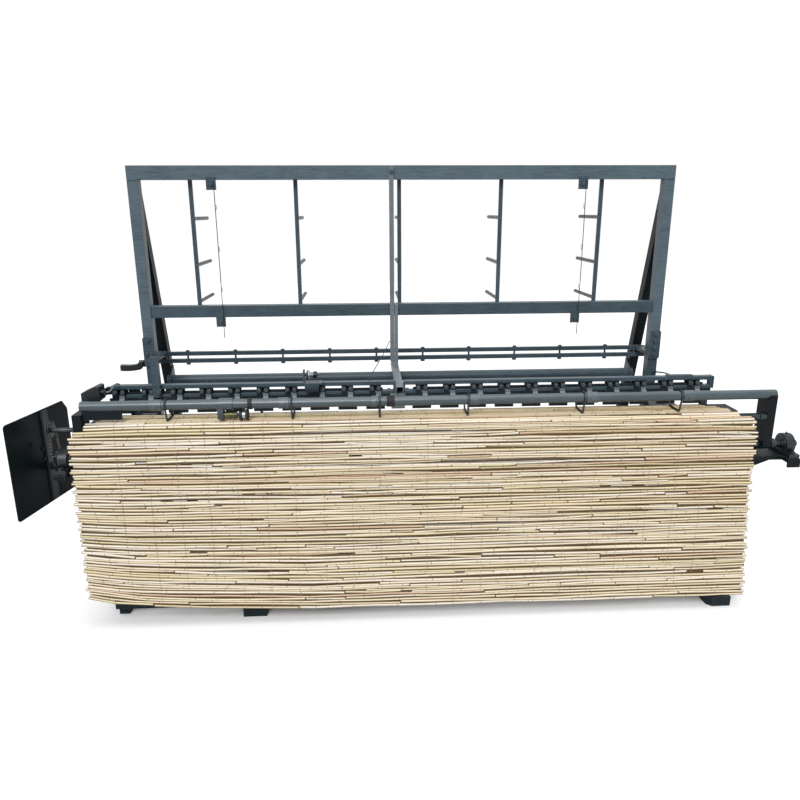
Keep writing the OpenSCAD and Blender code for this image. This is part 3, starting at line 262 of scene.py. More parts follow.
def painted(name, colour, deep, bare=(0.26, 0.28, 0.29), rough=0.40, dust=0.30, wear=0.62, gloss=0.35):
    material, tree, surface = shader(name)
    spot = here(tree)
    patches = cloud(tree, spot, 7.0, 5.0, 0.6)
    brushed = cloud(tree, here(tree, (1.0, 9.0, 9.0)), 24.0, 4.0)
    tone = mix(tree, ramp(tree, patches, [(0.32, 0.0), (0.72, 1.0)]), deep, colour)
    tone = mix(tree, ramp(tree, brushed, [(0.36, 0.0), (0.66, 0.75)]), tone, colour)
    tone = mix(tree, ramp(tree, brushed, [(0.30, 0.50), (0.46, 0.0)]), tone, deep)
    tone = mix(tree, upward_dust(tree, spot, dust), tone, (0.26, 0.29, 0.30))
    rubbed = sums(tree, "MULTIPLY", stored(tree, "edge"), cloud(tree, spot, 95.0, 6.0, 0.7))
    rubbed = ramp(tree, rubbed, [(wear * 0.62, 0.0), (wear * 0.85, 1.0)])
    tone = mix(tree, rubbed, tone, bare)
    tone = mix(tree, sums(tree, "MULTIPLY", stored(tree, "shade"), 0.85), tone, (0.004, 0.005, 0.006))
    tree.links.new(tone, surface.inputs["Base Color"])
    tree.links.new(sums(tree, "MULTIPLY_ADD", patches, 0.22, rough - 0.11), surface.inputs["Roughness"])
    surface.inputs["Specular IOR Level"].default_value = gloss
    bumps(tree, surface, cloud(tree, spot, 420.0, 2.0), 0.25, 0.4 * MM)
    return material


rail_paint = painted("worn blue grey enamel", (0.108, 0.150, 0.184), (0.055, 0.084, 0.106), gloss=0.28)
frame_paint = painted("blue grey enamel", (0.056, 0.086, 0.110), (0.026, 0.044, 0.058), gloss=0.28)
pipe_paint = painted("glossy pipe enamel", (0.058, 0.085, 0.101), (0.036, 0.058, 0.070), rough=0.30,
                     gloss=0.55)
clamp_paint = painted("clamp enamel", (0.082, 0.112, 0.130), (0.046, 0.068, 0.082), rough=0.30, gloss=0.55)
light_paint = painted("thin grey enamel", (0.170, 0.205, 0.222), (0.098, 0.126, 0.142))
dark_paint = painted("near black enamel", (0.014, 0.022, 0.028), (0.007, 0.012, 0.016), rough=0.50,
                     dust=0.06, gloss=0.16)
strip_paint = painted("rubbed black enamel", (0.032, 0.038, 0.048), (0.018, 0.023, 0.030), rough=0.34, gloss=0.5)
black_paint = painted("black enamel", (0.0055, 0.0095, 0.0120), (0.0030, 0.0050, 0.0070), rough=0.48,
                      dust=0.0, gloss=0.14)
guard_paint = painted("guard enamel", (0.0070, 0.0130, 0.0165), (0.0045, 0.0080, 0.0105), rough=0.36,
                      dust=0.05, gloss=0.12)
bolt_paint = painted("worn bolt enamel", (0.060, 0.085, 0.102), (0.022, 0.034, 0.042), rough=0.30,
                     wear=0.45, gloss=0.60)
drive_paint = painted("machine blue enamel", (0.070, 0.125, 0.160), (0.042, 0.080, 0.106), rough=0.38)
print("paints", len(bpy.data.materials))

# %% [markdown]
# ## Bare metals, rubber and plastic
#
# Turned and drawn steel has fine lines along the way it was worked and a film of oil, so its shine
# varies. Cast iron is coarse and dark. Rubber and plastic are plain, but never perfectly even.

# %% Make the other finishes
def metal(name, colour, stain, rough, lines=(40.0, 1.0, 1.0)):
    material, tree, surface = shader(name)
    surface.inputs["Metallic"].default_value = 1.0
    oil = cloud(tree, here(tree), 38.0, 5.0, 0.6)
    drawn = cloud(tree, here(tree, lines), 90.0, 3.0)
    tone = mix(tree, ramp(tree, oil, [(0.42, 0.0), (0.75, 1.0)]), colour, stain)
    tone = mix(tree, sums(tree, "MULTIPLY", stored(tree, "shade"), 0.94), tone, (0.006, 0.007, 0.008))
    tree.links.new(tone, surface.inputs["Base Color"])
    tree.links.new(sums(tree, "MULTIPLY_ADD", oil, 0.28, rough - 0.12), surface.inputs["Roughness"])
    bumps(tree, surface, drawn, 0.12, 0.1 * MM)
    return material


def dull(name, colour, second, rough, grain, relief, gloss=0.3):
    material, tree, surface = shader(name)
    spot = here(tree)
    tone = ramp(tree, cloud(tree, spot, 30.0, 4.0), [(0.3, colour), (0.75, second)])
    tree.links.new(tone, surface.inputs["Base Color"])
    surface.inputs["Roughness"].default_value = rough
    surface.inputs["Specular IOR Level"].default_value = gloss
    bumps(tree, surface, cloud(tree, spot, grain, 3.0), 0.5, relief)
    return material


steel = metal("drawn steel", (0.36, 0.38, 0.39), (0.17, 0.17, 0.16), 0.38)
bright_steel = metal("plated steel", (0.62, 0.66, 0.69), (0.34, 0.36, 0.37), 0.24)
dark_steel = metal("blackened steel", (0.060, 0.072, 0.080), (0.026, 0.030, 0.034), 0.40)
chain_steel = metal("oiled chain steel", (0.085, 0.088, 0.090), (0.030, 0.030, 0.030), 0.36)
peg_steel = metal("browned peg steel", (0.115, 0.105, 0.105), (0.060, 0.052, 0.050), 0.48)
olive_brass = metal("dulled brass", (0.13, 0.13, 0.06), (0.05, 0.05, 0.03), 0.42)
cast_iron = dull("cast iron", (0.0045, 0.0080, 0.0110), (0.012, 0.018, 0.023), 0.36, 700.0, 0.4 * MM, 0.45)
rubber = dull("black rubber", (0.008, 0.008, 0.008), (0.020, 0.020, 0.020), 0.60, 500.0, 0.3 * MM)
plastic = dull("black plastic", (0.008, 0.010, 0.012), (0.015, 0.018, 0.021), 0.40, 900.0, 0.1 * MM)
cable_skin = dull("grey cable sheath", (0.10, 0.13, 0.15), (0.15, 0.18, 0.20), 0.40, 300.0, 0.1 * MM)
yarn = dull("natural yarn", (0.40, 0.32, 0.18), (0.56, 0.46, 0.28), 0.80, 900.0, 0.3 * MM)
print("materials so far", len(bpy.data.materials))

# %% [markdown]
# ## Putting a piece in the scene
#
# Every finished mesh goes through one function. It shades smooth faces, gives the material, and says
# which body the piece rides on and which solids it stands for.
# Large flat faces keep their own direction at rounded edges, which a weighted normal does.

# %% Publish a piece
def link(name, mesh):
    thing = bpy.data.objects.new(name, mesh)
    bpy.context.scene.collection.objects.link(thing)
    return thing


def plain_copy(thing, name):
    """The finished mesh of an object with its modifiers, as a new plain object."""
    graph = bpy.context.evaluated_depsgraph_get()
    mesh = bpy.data.meshes.new_from_object(thing.evaluated_get(graph), depsgraph=graph)
    bpy.data.objects.remove(thing)
    return link(name, mesh)


def publish(thing, material, body="frame", stands_for=(), sharp=35):
    """Shades a piece, gives it its material and ties it to its body and solids."""
    mesh = thing.data
    mesh.materials.clear()
    mesh.materials.append(material)
    mesh.shade_smooth()
    mesh.set_sharp_from_angle(angle=math.radians(sharp))
    thing.modifiers.new("flat faces stay flat", "WEIGHTED_NORMAL").keep_sharp = True
    thing = plain_copy(thing, thing.name)
    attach(thing, body)
    if stands_for:
        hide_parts(*stands_for)
    return thing


def from_bmesh(name, bm):
    mesh = bpy.data.meshes.new(name)
    bm.to_mesh(mesh)
    bm.free()
    return link(name, mesh)


def piece(name, bm, material, body="frame", stands_for=(), sharp=35):
    """Finishes a closed mesh built in bmesh, with its faces turned outward."""
    bmesh.ops.recalc_face_normals(bm, faces=bm.faces)
    return publish(from_bmesh(name, bm), material, body, stands_for, sharp)


print("publish ready")

# %% [markdown]
# ## Rounded edges
#
# Rolled steel tube has corners with a radius of a few millimetres, and even a sawn plate has a small
# burr. A solid with knife edges looks like cardboard, because nothing catches the light. So each solid
# is copied, its flat faces are joined, its sharp edges are rounded, and the middle of each rounding is
# marked for the paint's wear.

# %% Round the edges of a solid
def rounded(node, radius, segments=2, sharp=32):
    """A mesh copy of a node whose sharp edges are rounded and marked."""
    bm = merged(node)
    bmesh.ops.dissolve_limit(bm, angle_limit=math.radians(0.6), verts=bm.verts, edges=bm.edges,
                             delimit={"NORMAL"})
    marks = bm.verts.layers.float.new("edge")
    edges = [e for e in bm.edges if e.is_manifold and e.calc_face_angle() > math.radians(sharp)]
    before = set(bm.verts)
    made = bmesh.ops.bevel(bm, geom=edges, offset=radius, offset_type="OFFSET", segments=segments,
                           profile=0.5, affect="EDGES", clamp_overlap=True)
    strips = set(made["faces"])
    for vert in made["verts"]:
        if vert not in before and all(face in strips for face in vert.link_faces):
            vert[marks] = 1.0
    return bm


def dress(node, material, radius, body="frame", shade=None):
    """Stands a rounded copy in a node's place. A rule may give each point its shade."""
    bm = rounded(node, radius)
    if shade:
        layer = bm.verts.layers.float.new("shade")
        for vert in bm.verts:
            vert[layer] = shade(vert.co)
    return publish(from_bmesh(node + "_finished", bm), material, body, [node])


TUBE_R = 3.0 * MM
PLATE_R = 0.8 * MM
tubes = {"base_rails": dark_paint, "front_legs": dark_paint, "lower_posts": frame_paint,
         "creel_posts": rail_paint, "creel_top_rail": rail_paint, "creel_mid_rail": frame_paint,
         "rear_struts": black_paint, "centre_tube": light_paint}
for node, material in tubes.items():
    dress(node, material, TUBE_R)
plates = {"floor_skids": dark_paint, "bearing_shelves": black_paint, "splice_plates": frame_paint,
          "strut_brackets": frame_paint, "centre_upright": light_paint, "spool_bars": frame_paint,
          "wire_lugs": frame_paint, "guide_bars": frame_paint, "beam_bars": frame_paint,
          "beam_ends": frame_paint, "beam_arms": frame_paint, "knitting_heads": dark_paint,
          "side_guide": frame_paint, "switch_box": plastic, "reed_ledge": black_paint,
          "rocker_brackets": dark_paint, "presser_arms": black_paint, "guard_bracket": black_paint,
          "lever_bracket": dark_paint, "roller_bushes": dark_steel, "rear_crossbar": frame_paint,
          "guide_pins": frame_paint, "guard_plate": guard_paint, "thread_fingers": light_paint,
          "spool_pegs": peg_steel, "pipe_clamps": clamp_paint}
for node, material in plates.items():
    dress(node, material, PLATE_R)
print("tubes", len(tubes), "plates and bars", len(plates))

# %% [markdown]
# ## Shapes for small parts
#
# Nearly every small part here is turned, cut from bar or cut from plate. Three functions make those
# shapes: one spins a profile about an axis, one makes a block and one pushes an outline sideways.

# %% Turned, block and plate shapes
def placed(axis, along, across_a, across_b):
    """A point from its place along an axis and its two places across it."""
    return {"x": (along, across_a, across_b), "y": (across_a, along, across_b),
            "z": (across_a, across_b, along)}[axis]


def turned(bm, profile, centre, axis="x", sides=40, ring=False):
    """Spins pairs of place and radius about an axis. A ring's profile closes on itself."""
    rings = []
    for along, radius in profile:
        rings.append([bm.verts.new(placed(axis, along, centre[0] + radius * math.cos(math.tau * k / sides),
                                          centre[1] + radius * math.sin(math.tau * k / sides)))
                      for k in range(sides)])
    for a, b in zip(rings, rings[1:] + rings[:1] if ring else rings[1:]):
        for k in range(sides):
            bm.faces.new((a[k], a[(k + 1) % sides], b[(k + 1) % sides], b[k]))
    if not ring:
        bm.faces.new(list(reversed(rings[0])))
        bm.faces.new(rings[-1])


def block(bm, low, high, radius=0.8 * MM):
    """A block between two corners with rounded edges."""
    verts = bmesh.ops.create_cube(bm, size=1.0)["verts"]
    for vert in verts:
        vert.co = Vector([low[k] + (vert.co[k] + 0.5) * (high[k] - low[k]) for k in range(3)])
    edges = list({edge for vert in verts for edge in vert.link_edges})
    bmesh.ops.bevel(bm, geom=edges, offset=radius, segments=2, profile=0.5, affect="EDGES",
                    clamp_overlap=True)


def pushed(bm, outline, start, end, axis="x"):
    """A plate from an outline across an axis, between two places along it."""
    near = [bm.verts.new(placed(axis, start, a, b)) for a, b in outline]
    far = [bm.verts.new(placed(axis, end, a, b)) for a, b in outline]
    for k in range(len(outline)):
        j = (k + 1) % len(outline)
        bm.faces.new((near[k], near[j], far[j], far[k]))
    bm.faces.new(list(reversed(near)))
    bm.faces.new(far)


def guard_strip():
    """The upright strip on the guard, a little larger than its solid so that it can have its own paint."""
    low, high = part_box("guard_plate")
    foot = low.z + 6 * MM
    points = [v.co.xy for v in merged("guard_plate").verts if abs(v.co.z - foot) < 0.2 * MM]
    centre = sum(points, Vector((0, 0))) / len(points)
    points.sort(key=lambda p: math.atan2(*(p - centre)))
    bm = bmesh.new()
    pushed(bm, [centre + (p - centre) * 1.03 for p in points], foot, high.z - 6 * MM, "z")
    piece("guard_strip", bm, strip_paint)
    print("guard strip corners", len(points))


guard_strip()

# %% [markdown]
# ## Two trees for repeats and rods
#
# Bolts, nuts and the slots of the fan cover repeat many times. Each shape is modelled once, pointing up, and a node
# tree copies it to every place on a list. Hooks, wires, cables and weld beads are the other family: a
# second tree takes lines with a thickness at each point, smooths them and gives them a round body.

# %% Helpers for geometry trees
def group(name, sockets):
    """An empty geometry tree with named inputs. Returns the tree, its input node and its output node."""
    tree = bpy.data.node_groups.new(name, "GeometryNodeTree")
    tree.interface.new_socket("Geometry", in_out="INPUT", socket_type="NodeSocketGeometry")
    for label, kind, value in sockets:
        socket = tree.interface.new_socket(label, in_out="INPUT", socket_type="NodeSocket" + kind)
        if value is not None:
            socket.default_value = value
    tree.interface.new_socket("Geometry", in_out="OUTPUT", socket_type="NodeSocketGeometry")
    return tree, tree.nodes.new("NodeGroupInput"), tree.nodes.new("NodeGroupOutput")


def run_tree(thing, tree, values):
    """Gives an object a geometry tree and sets its inputs by their identifiers."""
    modifier = thing.modifiers.new(tree.name, "NODES")
    modifier.node_group = tree
    for item in tree.interface.items_tree:
        if item.item_type == "SOCKET" and item.in_out == "INPUT" and item.name in values:
            modifier[item.identifier] = values[item.name]
    return thing


def named(tree, name, kind="FLOAT"):
    """Reads an attribute inside a geometry tree."""
    node = add(tree, "GeometryNodeInputNamedAttribute", {"Name": name}, data_type=kind)
    return node.outputs["Attribute"]


def close_tree(tree, given, result, mesh):
    """Makes instances real, sets the finish and closes a tree."""
    real = add(tree, "GeometryNodeRealizeInstances", {"Geometry": mesh})
    done = add(tree, "GeometryNodeSetMaterial",
               {"Geometry": real.outputs["Geometry"], "Material": given.outputs["Finish"]})
    tree.links.new(done.outputs["Geometry"], result.inputs["Geometry"])
    return tree


def triangles(mesh):
    return sum(len(face.vertices) - 2 for face in mesh.polygons)


print("geometry helpers ready")

# %% Build the scatter tree
def scatter_tree():
    tree, given, result = group("scatter shapes", [("Shape", "Object", None), ("Finish", "Material", None)])
    shape = add(tree, "GeometryNodeObjectInfo", {"Object": given.outputs["Shape"], "As Instance": True})
    lifted = add(tree, "FunctionNodeAlignRotationToVector",
                 {"Vector": named(tree, "facing", "FLOAT_VECTOR")}, axis="Z")
    about = add(tree, "FunctionNodeAxisAngleToRotation", {"Axis": (0, 0, 1), "Angle": named(tree, "spin")})
    spun = add(tree, "FunctionNodeRotateRotation",
               {"Rotation": lifted.outputs["Rotation"], "Rotate By": about.outputs["Rotation"]},
               rotation_space="LOCAL")
    copies = add(tree, "GeometryNodeInstanceOnPoints",
                 {"Points": given.outputs["Geometry"], "Instance": shape.outputs["Geometry"],
                  "Rotation": spun.outputs["Rotation"], "Scale": named(tree, "size", "FLOAT_VECTOR")})
    return close_tree(tree, given, result, copies.outputs["Instances"])


scatter_shapes = scatter_tree()


def scatter(name, shape, places, material, body="frame", stands_for=(), sharp=35):
    """Copies a shape to places, each a point, a direction and optionally a spin and a size."""
    mesh = bpy.data.meshes.new(name + "_places")
    mesh.from_pydata([p[0] for p in places], [], [])
    facing = [c for p in places for c in Vector(p[1]).normalized()]
    mesh.attributes.new("facing", "FLOAT_VECTOR", "POINT").data.foreach_set("vector", facing)
    spins = [p[2] if len(p) > 2 else 0.0 for p in places]
    mesh.attributes.new("spin", "FLOAT", "POINT").data.foreach_set("value", spins)
    sizes = [c for p in places for c in (p[3] if len(p) > 3 else (1, 1, 1))]
    mesh.attributes.new("size", "FLOAT_VECTOR", "POINT").data.foreach_set("vector", sizes)
    thing = run_tree(link(name + "_places", mesh), scatter_shapes, {"Shape": shape, "Finish": material})
    thing = plain_copy(thing, name)
    bpy.data.objects.remove(shape)
    print(name, "copies", len(places), "triangles", triangles(thing.data))
    return publish(thing, material, body, stands_for, sharp)


def shape_of(bm):
    """A shape to scatter, with its faces turned outward."""
    bmesh.ops.recalc_face_normals(bm, faces=bm.faces)
    return from_bmesh("shape", bm)


# %% Build the rod tree
def rod_tree():
    tree, given, result = group("round rods", [("Smooth", "Bool", True), ("Step", "Float", 0.004),
                                               ("Sides", "Int", 10), ("Finish", "Material", None)])
    lines = add(tree, "GeometryNodeMeshToCurve", {"Mesh": given.outputs["Geometry"]})
    soft = add(tree, "GeometryNodeCurveSplineType", {"Curve": lines.outputs["Curve"]},
               spline_type="CATMULL_ROM")
    fine = add(tree, "GeometryNodeResampleCurve",
               {"Curve": soft.outputs["Curve"], "Length": given.outputs["Step"]}, mode="LENGTH")
    chosen = add(tree, "GeometryNodeSwitch",
                 {"Switch": given.outputs["Smooth"], "False": lines.outputs["Curve"],
                  "True": fine.outputs["Curve"]}, input_type="GEOMETRY")
    ring = add(tree, "GeometryNodeCurvePrimitiveCircle", {"Resolution": given.outputs["Sides"],
                                                          "Radius": 1.0})
    swept = add(tree, "GeometryNodeCurveToMesh",
                {"Curve": chosen.outputs["Output"], "Profile Curve": ring.outputs["Curve"],
                 "Scale": named(tree, "girth"), "Fill Caps": True})
    return close_tree(tree, given, result, swept.outputs["Mesh"])


round_rods = rod_tree()


def rods(name, paths, material, body="frame", stands_for=(), sides=10, smooth=True, step=4 * MM):
    """Round bodies along paths. A path is its points and one thickness, or one for each point."""
    verts, edges, girths = [], [], []
    for points, girth in paths:
        start = len(verts)
        verts += [tuple(p) for p in points]
        edges += [(start + k, start + k + 1) for k in range(len(points) - 1)]
        girths += list(girth) if isinstance(girth, (list, tuple)) else [girth] * len(points)
    mesh = bpy.data.meshes.new(name + "_lines")
    mesh.from_pydata(verts, edges, [])
    mesh.attributes.new("girth", "FLOAT", "POINT").data.foreach_set("value", girths)
    thing = run_tree(link(name + "_lines", mesh), round_rods,
                     {"Smooth": smooth, "Step": step, "Sides": sides, "Finish": material})
    thing = plain_copy(thing, name)
    print(name, "paths", len(paths), "triangles", triangles(thing.data))
    return publish(thing, material, body, stands_for, sharp=55)


# %% [markdown]
# ## Bolts and nuts
#
# A bolt head is a hexagon whose corners a lathe has cut away. It can be drawn as rings of twelve
# points: the even ones are corners and the odd ones the middles of the flats.

# %% Model the bolts
def ring_of(bm, z, radii):
    """A ring of twelve points at one height, with the radii repeated round it."""
    return [bm.verts.new((radii[k % len(radii)] * math.cos(math.tau * k / 12),
                          radii[k % len(radii)] * math.sin(math.tau * k / 12), z)) for k in range(12)]


def skin(bm, rings):
    """Faces between rings of points, and caps on the first and last."""
    for a, b in zip(rings, rings[1:]):
        for k in range(len(a)):
            bm.faces.new((a[k], a[(k + 1) % len(a)], b[(k + 1) % len(b)], b[k]))
    bm.faces.new(list(reversed(rings[0])))
    bm.faces.new(rings[-1])


def hexagon(bm, z0, z1, corner, washer=0.0):
    """A hexagon head from z0 to z1 with its corners cut by a lathe, and a washer under it."""
    flat = corner * math.cos(math.pi / 6)
    drop = (corner - flat) * 0.75
    if washer:
        skin(bm, [ring_of(bm, z0, [washer]), ring_of(bm, z0 + 1.0 * MM, [washer]),
                  ring_of(bm, z0 + 1.2 * MM, [washer * 0.97])])
        z0 += 1.2 * MM
    skin(bm, [ring_of(bm, z0, [corner, flat]), ring_of(bm, z1 - drop, [corner, flat]),
              ring_of(bm, z1, [flat * 0.97]), ring_of(bm, z1 + 0.15 * MM, [flat * 0.55])])


def thread(bm, z0, z1, radius, pitch=1.25 * MM):
    """A threaded end: rings that go in and out."""
    rings = []
    for k in range(max(2, int((z1 - z0) / pitch))):
        rings += [ring_of(bm, z0 + k * pitch, [radius]), ring_of(bm, z0 + (k + 0.5) * pitch, [radius * 0.86])]
    rings += [ring_of(bm, z1 - 0.6 * MM, [radius]), ring_of(bm, z1, [radius * 0.8])]
    skin(bm, rings)


def bolt_shape(corner, height, washer=0.0):
    bm = bmesh.new()
    hexagon(bm, 0.0, height, corner, washer)
    return shape_of(bm)


def nut_shape(corner, height, shank, reach, washer=0.0):
    bm = bmesh.new()
    hexagon(bm, 0.0, height, corner, washer)
    thread(bm, height * 0.5, reach, shank)
    return shape_of(bm)


print("bolt shapes ready")

# %% Place the bolts
rng = random.Random(11)
FRONT, BACK = (0, -1, 0), (0, 1, 0)
HEX_R = 7.5 * MM
head_bolts = solids("head_bolts")
bolt_fronts = [((middle(b).x, b[0].y + 6 * MM, middle(b).z), FRONT, rng.uniform(0, 1)) for b in head_bolts]
scatter("beam_bolt_heads", bolt_shape(HEX_R, 5.85 * MM, 8.4 * MM), bolt_fronts, bolt_paint)
bolt_backs = [((middle(b).x, b[1].y - 7 * MM, middle(b).z), BACK, rng.uniform(0, 1)) for b in head_bolts]
scatter("beam_nuts", nut_shape(HEX_R, 6 * MM, 3.9 * MM, 7 * MM, 8.4 * MM), bolt_backs, dark_steel,
        stands_for=["head_bolts"])

fronts, backs = [], []
for pair in solids("frame_bolts"):
    scale = (pair[1].z - pair[0].z) / (2 * HEX_R * math.cos(math.pi / 6))
    fronts.append(((middle(pair).x, pair[0].y + 5.2 * MM, middle(pair).z), FRONT, rng.uniform(0, 1),
                   (scale, scale, 1)))
    if pair[1].y - pair[0].y > 16 * MM:
        backs.append(((middle(pair).x, pair[1].y - 7 * MM, middle(pair).z), BACK, rng.uniform(0, 1),
                      (scale, scale, 1)))
scatter("frame_bolt_heads", bolt_shape(HEX_R, 5 * MM, 8.2 * MM), fronts, frame_paint)
scatter("frame_nuts", nut_shape(HEX_R, 5.4 * MM, 3.9 * MM, 7 * MM, 8.2 * MM), backs, frame_paint,
        stands_for=["frame_bolts"])

# %% [markdown]
# ## The reeds of the mat
#
# A reed mat is hundreds of dry stems laid side by side. A stem is a thin tube with a swollen ring every
# hand's breadth, it tapers from butt to tip, and it is never quite straight. Many rows are made of two
# to four shorter stems, end to end. Python lays out where each stem runs, because the mat's rows
# follow a table, a bend and a long drop. Where a row ends is found by casting a ray at the solid mat
# from each side, so the ragged outline is that of the solid.

# %% Lay out the rows of the mat
mat_low, mat_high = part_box("mat")
THICK = 8.0 * MM
ROW = 11.4 * MM
BEND_R = 16.3 * MM
LIFT_RUN = 800 * MM
LIFT = 75 * MM
bend_y = mat_low.y + THICK + BEND_R
bend_z = mat_high.z - THICK - BEND_R
table_run = mat_high.y - bend_y
bend_run = math.pi / 2 * (BEND_R + THICK / 2)
drop_run = bend_z - mat_low.z
row_count = int((table_run + bend_run + drop_run) / ROW)
solid_mat = BVHTree.FromBMesh(merged("mat"))


def row_frame(along):
    """The middle of a row in Y and Z, the direction across the rows and the outward direction."""
    if along < table_run:
        return (Vector((0, mat_high.y - along, mat_high.z - THICK / 2)), Vector((0, -1, 0)),
                Vector((0, 0, 1)))
    if along < table_run + bend_run:
        turn = (along - table_run) / (BEND_R + THICK / 2)
        out = Vector((0, -math.sin(turn), math.cos(turn)))
        return (Vector((0, bend_y, bend_z)) + out * (BEND_R + THICK / 2),
                Vector((0, -math.cos(turn), -math.sin(turn))), out)
    z = bend_z - (along - table_run - bend_run)
    return Vector((0, mat_low.y + THICK / 2, z)), Vector((0, 0, -1)), Vector((0, -1, 0))


def drawn_up(x, along):
    """How far the lower left corner of the mat is drawn up at a place."""
    depth = max(0.0, (along - table_run - bend_run) / drop_run)
    near = max(0.0, 1 - (x - mat_low.x) / LIFT_RUN)
    return LIFT * (0.5 * near ** 0.9 + 0.5 * near ** 6) * depth ** 1.6


def row_end(along, side):
    """Where a row ends on the left or on the right, by a ray at the solid."""
    centre = row_frame(along)[0]
    start = Vector((side * 2.0, centre.y, centre.z))
    if side < 0:
        start.z += drawn_up(mat_low.x, along)
    hit = solid_mat.ray_cast(start, Vector((-side, 0, 0)))[0]
    if side > 0 and 0.2 < along / table_run < 1.0:
        return hit.x + 82 * MM * math.sqrt(along / table_run)
    return hit.x if hit else side * 1.0


print("rows", row_count, "first from", round(row_end(ROW / 2, -1), 3), "to", round(row_end(ROW / 2, 1), 3))

# %% Lay out the stems of each row
stems = []


def lay_stem(x0, x1, along, girth, tone, tilt, bow=0.0, outward=0.0):
    """Adds one stem as a list of points with their girth, ring and cut."""
    centre, across, out = row_frame(along)
    spacing = rng.uniform(0.14, 0.25)
    ring_at = x0 + rng.uniform(0.02, spacing)
    places = {x0: (0, 1), x0 + 3 * MM: (0, 0), x1 - 3 * MM: (0, 0), x1: (0, 1)}
    while ring_at < x1 - 8 * MM:
        places.update({ring_at - 2.8 * MM: (0, 0), ring_at: (1, 0), ring_at + 2.8 * MM: (0, 0)})
        step = spacing * rng.uniform(0.85, 1.12)
        if ring_at + step < x1 - 8 * MM:
            places[ring_at + step / 2] = (0, 0)
        ring_at += step
    taper = rng.choice((-1, 1)) * rng.uniform(0.04, 0.14)
    points = []
    for x in sorted(places):
        ring, cut = places[x]
        share = (x - x0) / (x1 - x0)
        width = girth * (1 + taper * (share - 0.5)) * (1 + 0.11 * ring - 0.08 * cut)
        aside = tilt * (share - 0.5) + bow * math.sin(math.pi * share)
        spot = Vector((x, 0, 0)) + centre + across * aside + out * outward
        spot.z += drawn_up(x, along)
        points.append((spot, width, ring, cut))
    stems.append((points, tone, across, out))


def tone_of_stem():
    """Most stems are cream or straw, some greenish, some brown or reddish."""
    pick = rng.random()
    if pick < 0.72:
        return rng.uniform(0.00, 0.40)
    if pick < 0.87:
        return rng.uniform(0.40, 0.60)
    return rng.uniform(0.60, 0.84)


for i in range(row_count):
    along = (i + 0.5) * ROW
    left, right = row_end(along, -1), row_end(along, 1)
    joins = sorted(left + (right - left) * rng.uniform(0.05, 0.95) for _ in range(rng.choice((1, 2, 2, 3, 3, 4))))
    joins = [left] + [j for j in joins if left + 0.12 < j < right - 0.12] + [right]
    for a, b in zip(joins, joins[1:]):
        if b - a > 70 * MM:
            bow = rng.choice((-1, 1)) * rng.uniform(1.5, 5.0) * MM if rng.random() < 0.34 else 0.0
            lay_stem(a + 1 * MM, b - 1 * MM, along + rng.uniform(-1.6, 1.6) * MM,
                     rng.uniform(3.9, 5.9) * MM, tone_of_stem(), rng.uniform(-5.5, 5.5) * MM, bow,
                     rng.uniform(-1.2, 0.8) * MM)
    if i > 1 and rng.random() < 0.50:
        start = left + (right - left) * rng.uniform(0.02, 0.55)
        lay_stem(start, min(right - 10 * MM, start + rng.uniform(0.5, 1.5)), along - ROW / 2,
                 rng.uniform(2.4, 3.6) * MM, tone_of_stem(), rng.uniform(-9, 9) * MM, 0.0,
                 rng.uniform(0.2, 1.6) * MM)
front_stems = len(stems)
for i in range(row_count - 1):
    along = (i + 1) * ROW
    left, right = row_end(along, -1) + 9 * MM, row_end(along, 1) - 9 * MM
    split = left + (right - left) * rng.uniform(0.2, 0.8)
    for a, b in ((left, split), (split, right)):
        lay_stem(a, b, along, rng.uniform(4.2, 5.0) * MM, tone_of_stem(), rng.uniform(-1.5, 1.5) * MM,
                 0.0, -2.2 * MM)
print("stems in front", front_stems, "thin stems behind", len(stems) - front_stems)

# %% [markdown]
# The stems enter the node tree as bare lines. Each point carries its girth, and each line its colour.
# The tree bends the lines with smooth noise across the mat, sweeps a round section along them and
# presses that section a little flat, because bound reeds are squeezed. It also stores how far each
# point lies towards its neighbours, which the material uses for painted shade between the stems and
# a painted highlight on their upper side, and how far forward a point lies, for painted shade on the rear stems.

# %% Build the tree that sweeps stems
def vector_math(tree, kind, inputs):
    return add(tree, "ShaderNodeVectorMath", inputs, operation=kind).outputs[0]


def keep(tree, geometry, name, kind, value):
    """Stores an attribute on points and passes the geometry on."""
    return add(tree, "GeometryNodeStoreNamedAttribute", {"Geometry": geometry, "Name": name, "Value": value},
               data_type=kind, domain="POINT").outputs["Geometry"]


